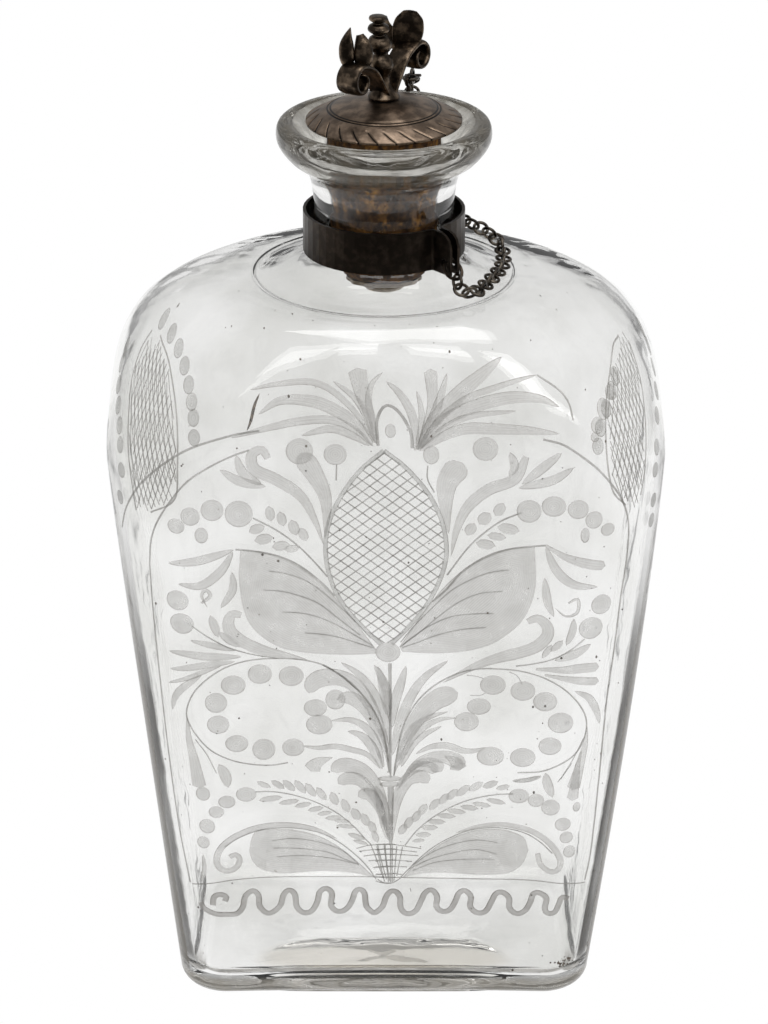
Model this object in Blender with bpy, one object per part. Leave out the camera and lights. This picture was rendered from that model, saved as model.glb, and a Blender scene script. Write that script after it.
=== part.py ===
"""Tapered rectangular glass flask whose cork stopper hangs on a silver chain.

The flask stands on z = 0 with its neck on the Z axis and its engraved front towards -Y.
All sizes are in metres.
"""
import math

import bmesh
import bpy
from mathutils import Matrix, Vector

# Glass body: widths run along X, depths along Y
FOOT_WIDTH = 0.1010
FOOT_DEPTH = 0.0624
FOOT_CORNER = 0.0118
FOOT_ROUND = 0.0053
BODY_WIDTH = 0.1330
BODY_DEPTH = 0.0870
BODY_CORNER = 0.0240
WIDEST_LEVEL = 0.1428
TAPER_FULLNESS = 1.12
WIDTH_FULLNESS = 2.78
DEPTH_FULLNESS = 4.0
FACE_SINK = 0.0012
FOOT_WALL = 0.0030
BODY_WALL = 0.0020
FLOOR_WALL = 0.0045
KICK_WIDTH = 0.0640
KICK_DEPTH = 0.0340
KICK_HEIGHT = 0.0070

# Shoulder and the turned crease round it
CREASE_LEVEL = 0.1818
CREASE_RADIUS = 0.0309
CREASE_WIDTH = 0.0009
CREASE_DEPTH = 0.0004
SHOULDER_WALL = 0.0016

# Neck and lip, as heights over the crease
NECK_FOOT_RISE = 0.0057
NECK_FOOT_RADIUS = 0.0183
WAIST_RISE = 0.0167
WAIST_RADIUS = 0.0166
NECK_TOP_RISE = 0.0247
NECK_TOP_RADIUS = 0.01775
LIP_RISE = 0.0378
LIP_HEIGHT = 0.0088
LIP_RADIUS = 0.0255
LIP_ROUND = 0.0026
MOUTH_RADIUS = 0.0194
BORE_RADIUS = 0.01375
THROAT_RADIUS = 0.0128

# Silver band round the neck
BAND_HEIGHT = 0.0100
BAND_THICKNESS = 0.0007
BAND_CLEARANCE = 0.0003
EAR_AZIMUTH = math.radians(-49.5)
EAR_LENGTH = 0.0062
EAR_GAP = 0.0016
EAR_BEND = 0.0010
EAR_HOLE = 0.0023
EAR_HOLE_INSET = 0.0020
EAR_HOLE_RISE = 0.0027

# Wire of the clamp ring and the chain
CLAMP_RADIUS = 0.0024
CLAMP_WIRE = 0.0009
CLAMP_DROOP = math.radians(48.0)
LINK_RADIUS = 0.00168
LINK_WIRE = 0.00076
LINK_PLAY = 0.00020
FIRST_LINK_FALL = 0.6

# Stopper
CAP_RADIUS = 0.01845
CAP_HEIGHT = 0.0052
CAP_SHEET = 0.0008
CAP_RIM = 0.0006
CAP_SEAT = 0.0003
EYE_RADIUS = 0.0013
EYE_WIRE = 0.0009
EYE_POST = 0.0020
EYE_REACH = 0.0155
EYE_AZIMUTH = math.radians(68.0)
CORK_TOP_RADIUS = 0.0134
CORK_MID_RADIUS = 0.0124
CORK_END_RADIUS = 0.0094
CORK_LENGTH = 0.0396
CORK_CHAMFER = 0.0090
ROD_RADIUS = 0.0013
WASHER_RADIUS = 0.0089
WASHER_THICKNESS = 0.0012
WASHER_SCALLOPS = 10
WASHER_SCALLOP_DEPTH = 0.0006
RIVET_RADIUS = 0.0056
RIVET_HEIGHT = 0.0024

# Cast finial, in the plane of its crest
CREST_AZIMUTH = math.radians(56.0)
FINIAL_HEIGHT = 0.0198
ROLL_REACH = 0.0158
ROLL_LEVEL = 0.0068
ROLL_RADIUS = 0.0034
SCROLL_WIDTH = 0.0048
SCROLL_THICKNESS = 0.0019
LEAF_HEIGHT = 0.0092
LEAF_WIDTH = 0.0078
LEAF_SPREAD = 0.0021
KNOB_RADIUS = 0.0029
KNOB_LEAN = 0.075
FINIAL_FOOT = 0.0036

# Clearances between pieces that touch on the real object
GAP = 0.0003
SLIM_GAP = 0.00015

# Fineness of the faceted solids
CORNER_STEPS = 8
FACE_STEPS = 3
TURN_STEPS = 40
WIRE_TURN = 11
WIRE_SIDES = 5

# Levels that follow from the sizes above
NECK_FOOT_LEVEL = CREASE_LEVEL + NECK_FOOT_RISE
WAIST_LEVEL = CREASE_LEVEL + WAIST_RISE
NECK_TOP_LEVEL = CREASE_LEVEL + NECK_TOP_RISE
LIP_TOP = CREASE_LEVEL + LIP_RISE
CAP_LEVEL = LIP_TOP + CAP_SEAT
CAP_APEX = CAP_LEVEL + CAP_HEIGHT
CORK_TOP = CAP_LEVEL + CAP_HEIGHT * 0.30
CORK_BOTTOM = CORK_TOP - CORK_LENGTH


def clear_scene():
    for item in list(bpy.data.objects):
        bpy.data.objects.remove(item, do_unlink=True)


def material(name, color, roughness, metallic, glass=0.0):
    made = bpy.data.materials.new(name)
    made.use_nodes = True
    shader = made.node_tree.nodes["Principled BSDF"]
    shader.inputs["Base Color"].default_value = (*color, 1.0)
    shader.inputs["Roughness"].default_value = roughness
    shader.inputs["Metallic"].default_value = metallic
    shader.inputs["Transmission Weight"].default_value = glass
    return made


def add_object(name, mesh, finish, smooth_angle=35.0):
    made = bpy.data.objects.new(name, mesh)
    bpy.context.scene.collection.objects.link(made)
    mesh.materials.append(finish)
    mesh.shade_smooth()
    mesh.set_sharp_from_angle(angle=math.radians(smooth_angle))
    return made


def as_tool(cutter):
    """Mark an object as a shape that only serves a Boolean."""
    cutter.hide_render = True
    cutter.display_type = "WIRE"
    return cutter


def combine(target, tool, operation):
    step = target.modifiers.new(tool.name, "BOOLEAN")
    step.operation = operation
    step.solver = "EXACT"
    step.object = as_tool(tool)


def loft(name, rings, closed=False):
    """Skin a list of rings of equal length; a ring of one point is a pole."""
    shape = bmesh.new()
    rows = [[shape.verts.new(point) for point in ring] for ring in rings]
    pairs = list(zip(rows, rows[1:]))
    if closed:
        pairs.append((rows[-1], rows[0]))
    for low, high in pairs:
        count = max(len(low), len(high))
        for k in range(count):
            after = (k + 1) % count
            if len(low) == 1:
                shape.faces.new((low[0], high[after], high[k]))
            elif len(high) == 1:
                shape.faces.new((low[k], low[after], high[0]))
            else:
                shape.faces.new((low[k], low[after], high[after], high[k]))
    for row in (rows[0], rows[-1]):
        if len(row) > 1 and not closed:
            shape.faces.new(row)
    bmesh.ops.recalc_face_normals(shape, faces=shape.faces)
    mesh = bpy.data.meshes.new(name)
    shape.to_mesh(mesh)
    shape.free()
    return mesh


def turned(name, profile, steps=TURN_STEPS):
    """Turn a profile of (radius, level) pairs about Z, poles where the radius is zero."""
    rings = []
    for radius, level in profile:
        if radius == 0.0:
            rings.append([(0.0, 0.0, level)])
            continue
        turn = [math.tau * k / steps for k in range(steps)]
        rings.append([(radius * math.cos(a), radius * math.sin(a), level) for a in turn])
    closed = profile[0][0] != 0.0
    return loft(name, rings, closed)


def wire_ring(name, radius, wire, place, turn_steps=WIRE_TURN):
    """A closed ring of round wire in the XY plane of the matrix place."""
    rings = []
    for k in range(turn_steps):
        angle = math.tau * k / turn_steps
        outward = Vector((math.cos(angle), math.sin(angle), 0.0))
        ring = []
        for j in range(WIRE_SIDES):
            side = math.tau * j / WIRE_SIDES
            offset = outward * math.cos(side) + Vector((0.0, 0.0, 1.0)) * math.sin(side)
            ring.append(place @ (outward * radius + offset * wire / 2))
        rings.append(ring)
    return loft(name, rings, closed=True)


def frame_at(point, along, across):
    """Matrix with X along a direction, and Y as near as can be to another."""
    x_axis = along.normalized()
    z_axis = x_axis.cross(across).normalized()
    y_axis = z_axis.cross(x_axis)
    turn = Matrix((x_axis, y_axis, z_axis)).transposed()
    return Matrix.Translation(point) @ turn.to_4x4()


def polar(radius, azimuth, level):
    return Vector((radius * math.cos(azimuth), radius * math.sin(azimuth), level))


# Glass bottle

def section(half_width, half_depth, corner, squareness, level, sink=0.0):
    """A ring between an ellipse (squareness 0) and a rounded rectangle (squareness 1)."""
    ring = []
    face_turn = math.radians(15.0)
    for quarter in range(4):
        middle = math.radians(45.0 + 90.0 * quarter)
        sign_x = 1.0 if quarter in (0, 3) else -1.0
        sign_y = 1.0 if quarter in (0, 1) else -1.0
        centre = Vector((sign_x * (half_width - corner), sign_y * (half_depth - corner)))
        for k in range(CORNER_STEPS + 1):
            share = k / CORNER_STEPS - 0.5
            angle = middle + math.radians(90.0) * share
            square = centre + corner * Vector((math.cos(angle), math.sin(angle)))
            round_turn = middle + (math.radians(90.0) - 2 * face_turn) * share
            ellipse = Vector((half_width * math.cos(round_turn), half_depth * math.sin(round_turn)))
            ring.append(ellipse.lerp(square, squareness))
        # the flat face up to the next corner
        if quarter in (0, 2):
            start = Vector((sign_x * (half_width - corner), sign_y * half_depth))
            end = Vector((-start.x, start.y))
        else:
            start = Vector((sign_x * half_width, sign_y * (half_depth - corner)))
            end = Vector((start.x, -start.y))
        for k in range(1, FACE_STEPS):
            share = k / FACE_STEPS
            square = start.lerp(end, share)
            round_turn = middle + math.radians(45.0) - face_turn + 2 * face_turn * share
            ellipse = Vector((half_width * math.cos(round_turn), half_depth * math.sin(round_turn)))
            ring.append(ellipse.lerp(square, squareness))
    sunk = []
    for point in ring:
        across = min(abs(point.x) / half_width, 1.0)
        pull = sink * (1.0 - across * across) * (1.0 if abs(point.y) > half_depth * 0.6 else 0.0)
        sunk.append((point.x, point.y - math.copysign(pull, point.y), level))
    return sunk


def ease(share):
    return share * share * (3.0 - 2.0 * share)


def body_half(level, foot, widest):
    """Half width or depth of the tapered body at a level below the widest one."""
    share = min(max(level / WIDEST_LEVEL, 0.0), 1.0)
    return foot / 2 + (widest - foot) / 2 * (1.0 - (1.0 - share) ** TAPER_FULLNESS)


def shoulder_half(level, widest, top, fullness):
    """Half width or depth of the shoulder, from the widest level to the crease."""
    share = min(max((level - WIDEST_LEVEL) / (CREASE_LEVEL - WIDEST_LEVEL), 0.0), 1.0)
    return top + (widest / 2 - top) * (1.0 - share ** fullness) ** (1.0 / fullness)


def body_ring(level, wall=0.0):
    """The body's or shoulder's ring at a level, drawn in by the wall."""
    share = min(level / WIDEST_LEVEL, 1.0)
    corner = FOOT_CORNER + (BODY_CORNER - FOOT_CORNER) * share
    if level <= WIDEST_LEVEL:
        half_width = body_half(level, FOOT_WIDTH, BODY_WIDTH)
        half_depth = body_half(level, FOOT_DEPTH, BODY_DEPTH)
        squareness = 1.0
        sink = FACE_SINK
    else:
        half_width = shoulder_half(level, BODY_WIDTH, CREASE_RADIUS, WIDTH_FULLNESS)
        half_depth = shoulder_half(level, BODY_DEPTH, CREASE_RADIUS, DEPTH_FULLNESS)
        climb = (level - WIDEST_LEVEL) / (CREASE_LEVEL - WIDEST_LEVEL)
        squareness = 1.0 - ease(climb)
        sink = FACE_SINK * (1.0 - climb)
    corner = min(corner, half_depth)
    return section(half_width - wall, half_depth - wall, max(corner - wall, 0.004), squareness, level, sink)


def drop_level(ring, level):
    return [(x, y, level) for x, y, _ in ring]


def kick_rings(rise, floor):
    """Rings of the pushed-up base, from its middle out to its foot at a floor level."""
    rings = [[(0.0, 0.0, floor + rise)]]
    for share in (0.35, 0.68, 1.0):
        half_width = KICK_WIDTH / 2 * share
        half_depth = KICK_DEPTH / 2 * share
        level = floor + rise * (0.5 + 0.5 * math.cos(math.pi * share))
        corner = half_depth * 0.9
        rings.append(section(half_width, half_depth, corner, 0.8, level))
    return rings


def foot_rings(floor, wall, rounding):
    """The rounded edge between the base and the sides."""
    rings = []
    for share in (0.0, 0.33, 0.67, 1.0):
        angle = math.radians(90.0) * share
        inset = wall + rounding * (1.0 - math.sin(angle))
        level = floor + rounding * (1.0 - math.cos(angle))
        rings.append(drop_level(body_ring(floor + rounding, inset), level))
    return rings


def neck_circle(radius, level):
    return section(radius, radius, radius, 0.0, level)


def outer_neck_profile():
    lip_base = LIP_TOP - LIP_HEIGHT
    lip_edge = LIP_RADIUS - LIP_ROUND
    profile = [
        (CREASE_RADIUS + CREASE_WIDTH, CREASE_LEVEL),
        (CREASE_RADIUS, CREASE_LEVEL - CREASE_DEPTH),
        (CREASE_RADIUS - CREASE_WIDTH, CREASE_LEVEL + CREASE_DEPTH / 2),
        (CREASE_RADIUS - (CREASE_RADIUS - NECK_FOOT_RADIUS) * 0.45, CREASE_LEVEL + NECK_FOOT_RISE * 0.12),
        (NECK_FOOT_RADIUS + (CREASE_RADIUS - NECK_FOOT_RADIUS) * 0.22, CREASE_LEVEL + NECK_FOOT_RISE * 0.46),
        (NECK_FOOT_RADIUS, NECK_FOOT_LEVEL),
        (WAIST_RADIUS + (NECK_FOOT_RADIUS - WAIST_RADIUS) * 0.28, (NECK_FOOT_LEVEL + WAIST_LEVEL) / 2),
        (WAIST_RADIUS, WAIST_LEVEL),
        (NECK_TOP_RADIUS, NECK_TOP_LEVEL),
        (NECK_TOP_RADIUS + (lip_edge - NECK_TOP_RADIUS) * 0.45, lip_base),
    ]
    for angle in (-50.0, -15.0, 20.0, 55.0, 90.0):
        turn = math.radians(angle)
        radius = lip_edge + LIP_ROUND * math.cos(turn)
        profile.append((radius, LIP_TOP - LIP_ROUND + LIP_ROUND * math.sin(turn)))
    return profile


def bore_profile():
    """The inside of the neck, from the mouth down to the shoulder."""
    inner_crease = CREASE_LEVEL - SHOULDER_WALL
    return [
        (MOUTH_RADIUS, LIP_TOP - SLIM_GAP),
        (BORE_RADIUS + (MOUTH_RADIUS - BORE_RADIUS) * 0.42, LIP_TOP - LIP_HEIGHT * 0.24),
        (BORE_RADIUS + (MOUTH_RADIUS - BORE_RADIUS) * 0.10, LIP_TOP - LIP_HEIGHT * 0.62),
        (BORE_RADIUS, LIP_TOP - LIP_HEIGHT * 1.1),
        (THROAT_RADIUS, WAIST_LEVEL),
        (THROAT_RADIUS + 0.0006, NECK_FOOT_LEVEL + 0.002),
        (THROAT_RADIUS + 0.0032, CREASE_LEVEL + 0.0010),
        (THROAT_RADIUS + 0.0090, inner_crease - 0.0003),
        (CREASE_RADIUS, inner_crease - 0.0006),
    ]


def glass_bottle():
    span = CREASE_LEVEL - WIDEST_LEVEL
    body_levels = [WIDEST_LEVEL * share for share in (0.18, 0.45, 0.68, 0.86, 1.0)]
    shoulder_levels = [WIDEST_LEVEL + span * share for share in (0.20, 0.40, 0.58, 0.73, 0.85, 0.93, 0.975)]
    rings = kick_rings(KICK_HEIGHT, 0.0)
    rings += foot_rings(0.0, 0.0, FOOT_ROUND)
    rings += [body_ring(level) for level in body_levels + shoulder_levels]
    rings += [neck_circle(radius, level) for radius, level in outer_neck_profile()]
    rings += [neck_circle(radius, level) for radius, level in bore_profile()]
    for level in reversed(shoulder_levels[:-1]):
        lowered = level - SHOULDER_WALL * (level - WIDEST_LEVEL) / span
        rings.append(drop_level(body_ring(level, BODY_WALL), lowered))
    for level in reversed(body_levels):
        share = level / WIDEST_LEVEL
        wall = FOOT_WALL + (BODY_WALL - FOOT_WALL) * share
        rings.append(body_ring(level, wall))
    inside_foot = foot_rings(FLOOR_WALL, FOOT_WALL, FOOT_ROUND)
    rings += reversed(inside_foot)
    rings += reversed(kick_rings(KICK_HEIGHT, FLOOR_WALL))
    finish = material("clear_glass", (0.93, 0.93, 0.90), 0.03, 0.0, glass=1.0)
    return add_object("glass_bottle", loft("glass_bottle", rings), finish)


# Neck band with its two ears

def band_inner_radius():
    """The band slips down the neck until it meets the flare of the neck's foot."""
    return NECK_FOOT_RADIUS + BAND_CLEARANCE


BAND_INNER = band_inner_radius()
BAND_OUTER = BAND_INNER + BAND_THICKNESS
BAND_BOTTOM = NECK_FOOT_LEVEL + 0.0003
EAR_END = BAND_OUTER + EAR_LENGTH


def band_path():
    """Middle line of the strip in plan: ear, bend, round the neck, bend, ear."""
    middle = BAND_INNER + BAND_THICKNESS / 2
    half_gap = (EAR_GAP + BAND_THICKNESS) / 2
    bend_centre_out = math.sqrt((middle + EAR_BEND) ** 2 - (half_gap + EAR_BEND) ** 2)
    bend_angle = math.asin((half_gap + EAR_BEND) / (middle + EAR_BEND))
    ear = [Vector((EAR_END - EAR_LENGTH * share, half_gap)) for share in (0.0, 0.12, 0.3, 0.55)]
    centre = Vector((bend_centre_out, half_gap + EAR_BEND))
    bend = []
    for share in (0.0, 0.33, 0.67, 1.0):
        angle = -math.pi / 2 - (math.pi / 2 - bend_angle) * share
        bend.append(centre + EAR_BEND * Vector((math.cos(angle), math.sin(angle))))
    turns = 44
    sweep = math.tau - 2 * bend_angle
    circle = [bend_angle + sweep * k / turns for k in range(1, turns)]
    hoop = [middle * Vector((math.cos(a), math.sin(a))) for a in circle]
    first = ear + bend
    last = [Vector((point.x, -point.y)) for point in reversed(first)]
    return first + hoop + last


def ear_top(reach):
    """Top edge of the strip: level round the neck, rounded off towards an ear's end."""
    radius = EAR_LENGTH * 0.62
    over = reach - (EAR_END - radius)
    if over <= 0.0:
        return BAND_HEIGHT
    return BAND_HEIGHT - (radius - math.sqrt(max(radius * radius - over * over, 0.0))) * 0.9


def neck_band():
    path = band_path()
    rings = []
    for k, point in enumerate(path):
        before = path[max(k - 1, 0)]
        after = path[min(k + 1, len(path) - 1)]
        along = (after - before).normalized()
        side = Vector((-along.y, along.x)) * BAND_THICKNESS / 2
        top = BAND_BOTTOM + ear_top(point.x if abs(point.y) < BAND_INNER / 2 else 0.0)
        rings.append([
            (point.x + side.x, point.y + side.y, BAND_BOTTOM),
            (point.x - side.x, point.y - side.y, BAND_BOTTOM),
            (point.x - side.x, point.y - side.y, top),
            (point.x + side.x, point.y + side.y, top),
        ])
    mesh = loft("neck_band", rings)
    mesh.transform(Matrix.Rotation(EAR_AZIMUTH, 4, "Z"))
    band = add_object("neck_band", mesh, material("band_silver", (0.10, 0.085, 0.075), 0.42, 1.0))
    drill_length = EAR_GAP + 4 * BAND_THICKNESS
    drill = turned("ear_drill", [(0.0, -drill_length / 2), (EAR_HOLE / 2, -drill_length / 2),
                                 (EAR_HOLE / 2, drill_length / 2), (0.0, drill_length / 2)], steps=12)
    drill.transform(hole_frame())
    combine(band, add_object("ear_drill", drill, band.data.materials[0]), "DIFFERENCE")
    return band


def ear_outward():
    return Vector((math.cos(EAR_AZIMUTH), math.sin(EAR_AZIMUTH), 0.0))


def ear_across():
    return Vector((-math.sin(EAR_AZIMUTH), math.cos(EAR_AZIMUTH), 0.0))


def hole_centre():
    return ear_outward() * (EAR_END - EAR_HOLE_INSET) + Vector((0.0, 0.0, BAND_BOTTOM + EAR_HOLE_RISE))


def hole_frame():
    """Matrix at the ear holes whose Z runs through both of them."""
    turn = Matrix((ear_outward(), Vector((0.0, 0.0, -1.0)), ear_across())).transposed()
    return Matrix.Translation(hole_centre()) @ turn.to_4x4()


def clamp_direction():
    return ear_outward() * math.cos(CLAMP_DROOP) - Vector((0.0, 0.0, math.sin(CLAMP_DROOP)))


def clamp_centre():
    half_span = (EAR_GAP + BAND_THICKNESS) / 2
    return hole_centre() + clamp_direction() * math.sqrt(CLAMP_RADIUS ** 2 - half_span ** 2)


def clamp_ring():
    place = frame_at(clamp_centre(), clamp_direction(), ear_across())
    mesh = wire_ring("clamp_ring", CLAMP_RADIUS, CLAMP_WIRE, place, turn_steps=16)
    return add_object("clamp_ring", mesh, material("ring_silver", (0.14, 0.12, 0.10), 0.38, 1.0))


# Chain

def cap_surface(radius):
    """Level of the dome's outer surface at a radius from the axis."""
    sphere = (CAP_RADIUS ** 2 + CAP_HEIGHT ** 2) / (2 * CAP_HEIGHT)
    return CAP_APEX - sphere + math.sqrt(sphere ** 2 - radius ** 2)


def eye_centre():
    level = cap_surface(EYE_REACH) + EYE_POST + EYE_RADIUS
    return polar(EYE_REACH, EYE_AZIMUTH, level)


def first_fall():
    """Direction in which the first link hangs from the clamp ring."""
    return (clamp_direction() + Vector((0.0, 0.0, -FIRST_LINK_FALL))).normalized()


def chain_start():
    """Pivot of the first link on the outer side of the clamp ring."""
    return clamp_centre() + clamp_direction() * CLAMP_RADIUS - first_fall() * (CLAMP_WIRE + LINK_PLAY) / 2


def chain_end():
    """Pivot of the last link on the back of the cap's eye."""
    outward = polar(1.0, EYE_AZIMUTH + math.radians(8.0), 0.0)
    return eye_centre() + outward * (EYE_RADIUS - (EYE_WIRE + LINK_PLAY) / 2)


def chain_points():
    """Chosen points of the chain's path: down to the shoulder, round the neck, over the lip."""
    lying = CREASE_LEVEL + CREASE_DEPTH / 2 + LINK_RADIUS + LINK_WIRE / 2 + GAP
    beside_band = BAND_OUTER + LINK_RADIUS + LINK_WIRE / 2 + GAP
    beside_lip = LIP_RADIUS + LINK_RADIUS + LINK_WIRE / 2 + GAP
    over_lip = LIP_TOP + LINK_RADIUS + LINK_WIRE / 2 + GAP
    chosen = [
        (EAR_END + 0.0018, -50.5, lying + 0.0010),
        ((EAR_END * 2 + CREASE_RADIUS) / 3 + 0.0018, -49.6, lying + 0.0001),
        ((EAR_END + CREASE_RADIUS) / 2 + 0.0019, -46.0, lying),
        (CREASE_RADIUS - 0.0010, -40.5, lying),
        (CREASE_RADIUS - 0.0020, -34.0, lying),
        (CREASE_RADIUS - 0.0028, -22.0, lying),
        (CREASE_RADIUS - 0.0026, -8.0, lying),
        (CREASE_RADIUS - 0.0022, 5.0, lying),
        (CREASE_RADIUS - 0.0016, 15.0, lying + 0.0004),
        (CREASE_RADIUS - 0.0020, 22.0, lying + 0.0020),
        (beside_band + 0.0044, 27.0, lying + 0.0041),
        (beside_band + 0.0018, 34.0, lying + 0.0054),
        (beside_band + 0.0005, 48.0, lying + 0.0058),
        (beside_band + 0.0004, 58.0, lying + 0.0082),
        (beside_band + 0.0006, 65.0, WAIST_LEVEL + 0.0010),
        (beside_band + 0.0016, 70.0, NECK_TOP_LEVEL - 0.0022),
        (beside_lip - 0.0012, 74.0, LIP_TOP - LIP_HEIGHT - 0.0010),
        (beside_lip + 0.0001, 76.0, LIP_TOP - LIP_ROUND),
        (LIP_RADIUS + 0.0002, 75.0, over_lip - 0.0001),
        (LIP_RADIUS - 0.0040, 71.0, over_lip + 0.0022),
    ]
    middle = [polar(radius, math.radians(azimuth), level) for radius, azimuth, level in chosen]
    return [chain_start()] + middle + [chain_end()]


def smooth_path(points, per_span=24):
    """Points of a smooth curve through the given ones."""
    ends = [points[0] * 2 - points[1]] + points + [points[-1] * 2 - points[-2]]
    curve = []
    for k in range(1, len(ends) - 2):
        before, here, there, after = ends[k - 1:k + 3]
        for j in range(per_span):
            t = j / per_span
            curve.append(0.5 * (2 * here + (there - before) * t
                                + (2 * before - 5 * here + 4 * there - after) * t * t
                                + (3 * here - before - 3 * there + after) * t * t * t))
    curve.append(points[-1])
    return curve


def even_steps(curve, pitch_limit):
    """Points at equal steps along a curve, with no step longer than the limit."""
    lengths = [0.0]
    for before, after in zip(curve, curve[1:]):
        lengths.append(lengths[-1] + (after - before).length)
    steps = math.ceil(lengths[-1] / pitch_limit)
    places = []
    k = 0
    for step in range(steps + 1):
        goal = lengths[-1] * step / steps
        while k < len(lengths) - 2 and lengths[k + 1] < goal:
            k += 1
        share = (goal - lengths[k]) / (lengths[k + 1] - lengths[k])
        places.append(curve[k].lerp(curve[k + 1], min(share, 1.0)))
    return places


def link_pitch():
    return 2 * LINK_RADIUS - LINK_WIRE - LINK_PLAY


def link_frames():
    """A matrix for each link: X from pivot to pivot, and each link a quarter turn from the last."""
    pivots = even_steps(smooth_path(chain_points()), link_pitch())
    last = len(pivots) - 2
    bases = []
    across = clamp_direction().cross(ear_across())
    for before, after in zip(pivots, pivots[1:]):
        along = (after - before).normalized()
        across = (across - along * across.dot(along)).normalized()
        bases.append(frame_at((before + after) / 2, along, across))
    # the last link lies level, so that the upright eye passes through it
    level_way = polar(1.0, EYE_AZIMUTH + math.radians(90.0), 0.0)
    seen = bases[last].to_3x3().inverted() @ level_way
    quarter = math.radians(90.0)
    twist = (math.atan2(seen.z, seen.y) - quarter * (last % 2)) % math.pi
    if twist > quarter:
        twist -= math.pi
    frames = []
    for k, base in enumerate(bases):
        turn = quarter * (k % 2) + twist * k / last
        frames.append(base @ Matrix.Rotation(turn, 4, "X"))
    return frames


def chain():
    finish = material("chain_silver", (0.13, 0.11, 0.09), 0.40, 1.0)
    links = []
    for k, place in enumerate(link_frames(), start=1):
        name = f"chain_link_{k:02d}"
        links.append(add_object(name, wire_ring(name, LINK_RADIUS, LINK_WIRE, place), finish))
    return links


# Stopper

def cap_dome():
    """Spun cap: a shallow dome with a plain rim and a hole for the rod."""
    sphere = (CAP_RADIUS ** 2 + CAP_HEIGHT ** 2) / (2 * CAP_HEIGHT)
    half_angle = math.asin(CAP_RADIUS / sphere)
    centre = CAP_APEX - sphere
    hole = ROD_RADIUS + SLIM_GAP
    start = math.asin(hole / sphere)
    outer = []
    inner = []
    steps = 7
    for k in range(steps + 1):
        angle = start + (half_angle - start) * k / steps
        outer.append((sphere * math.sin(angle), centre + sphere * math.cos(angle)))
        thin = sphere - CAP_SHEET
        inner.append((thin * math.sin(angle), centre + thin * math.cos(angle)))
    inner[0] = (hole, inner[0][1])
    outer.append((CAP_RADIUS, CAP_LEVEL - CAP_RIM))
    inner[-1] = (CAP_RADIUS - CAP_SHEET, CAP_LEVEL - CAP_RIM)
    mesh = turned("cap_dome", outer + list(reversed(inner)))
    return add_object("cap_dome", mesh, material("cap_silver", (0.22, 0.18, 0.15), 0.40, 1.0))


def cap_eye():
    """Wire loop on a short post, soldered behind the finial."""
    outward = polar(1.0, EYE_AZIMUTH, 0.0)
    up = Vector((0.0, 0.0, 1.0))
    place = frame_at(eye_centre(), outward, up)
    mesh = wire_ring("cap_eye", EYE_RADIUS, EYE_WIRE, place)
    finish = material("eye_silver", (0.13, 0.11, 0.09), 0.40, 1.0)
    eye = add_object("cap_eye", mesh, finish)
    foot = cap_surface(EYE_REACH - EYE_WIRE) + SLIM_GAP
    head = eye_centre().z - EYE_RADIUS
    profile = [(0.0, foot), (EYE_WIRE * 0.8, foot), (EYE_WIRE * 0.45, head), (0.0, head)]
    post = turned("eye_post", profile, steps=8)
    post.transform(Matrix.Translation(polar(EYE_REACH, EYE_AZIMUTH, 0.0)))
    combine(eye, add_object("eye_post", post, finish), "UNION")
    return eye


def stopper_rod():
    """The finial's tang, from inside the finial's foot down to the rivet."""
    top = CAP_APEX - SLIM_GAP
    bottom = CORK_BOTTOM - GAP - WASHER_THICKNESS - GAP
    profile = [(0.0, bottom), (ROD_RADIUS, bottom), (ROD_RADIUS, top), (0.0, top)]
    return add_object("stopper_rod", turned("stopper_rod", profile, steps=16),
                      material("rod_iron", (0.20, 0.17, 0.15), 0.5, 1.0))


def cork():
    """Tapered cork with a chamfered lower end, bored for the rod."""
    hole = ROD_RADIUS + SLIM_GAP
    chamfer = CORK_BOTTOM + CORK_CHAMFER
    profile = [
        (hole, CORK_BOTTOM),
        (CORK_END_RADIUS - 0.0010, CORK_BOTTOM),
        (CORK_END_RADIUS, CORK_BOTTOM + 0.0010),
        (CORK_MID_RADIUS - 0.0014, chamfer - 0.0025),
        (CORK_MID_RADIUS - 0.0002, chamfer),
        (CORK_MID_RADIUS, WAIST_LEVEL),
        (CORK_TOP_RADIUS, LIP_TOP - LIP_HEIGHT),
        (CORK_TOP_RADIUS + 0.0001, CORK_TOP - 0.0006),
        (CORK_TOP_RADIUS - 0.0005, CORK_TOP),
        (hole, CORK_TOP),
    ]
    finish = material("cork_bark", (0.36, 0.22, 0.10), 0.85, 0.0)
    return add_object("cork", turned("cork", profile, steps=32), finish)


def cork_washer():
    """Disc cut with a scalloped edge, against the cork's lower end."""
    top = CORK_BOTTOM - GAP
    steps = WASHER_SCALLOPS * 4
    hole = ROD_RADIUS + SLIM_GAP
    edge = []
    inner = []
    for k in range(steps):
        angle = math.tau * k / steps
        wave = 0.5 - 0.5 * math.cos(WASHER_SCALLOPS * angle)
        radius = WASHER_RADIUS - WASHER_SCALLOP_DEPTH * wave
        edge.append(Vector((radius * math.cos(angle), radius * math.sin(angle), 0.0)))
        inner.append(Vector((hole * math.cos(angle), hole * math.sin(angle), 0.0)))
    high = Vector((0.0, 0.0, top))
    low = Vector((0.0, 0.0, top - WASHER_THICKNESS))
    rings = [
        [p + low for p in inner],
        [p + low for p in edge],
        [p + high for p in edge],
        [p + high for p in inner],
    ]
    return add_object("cork_washer", loft("cork_washer", rings, closed=True),
                      material("washer_silver", (0.45, 0.40, 0.33), 0.45, 1.0))


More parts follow.
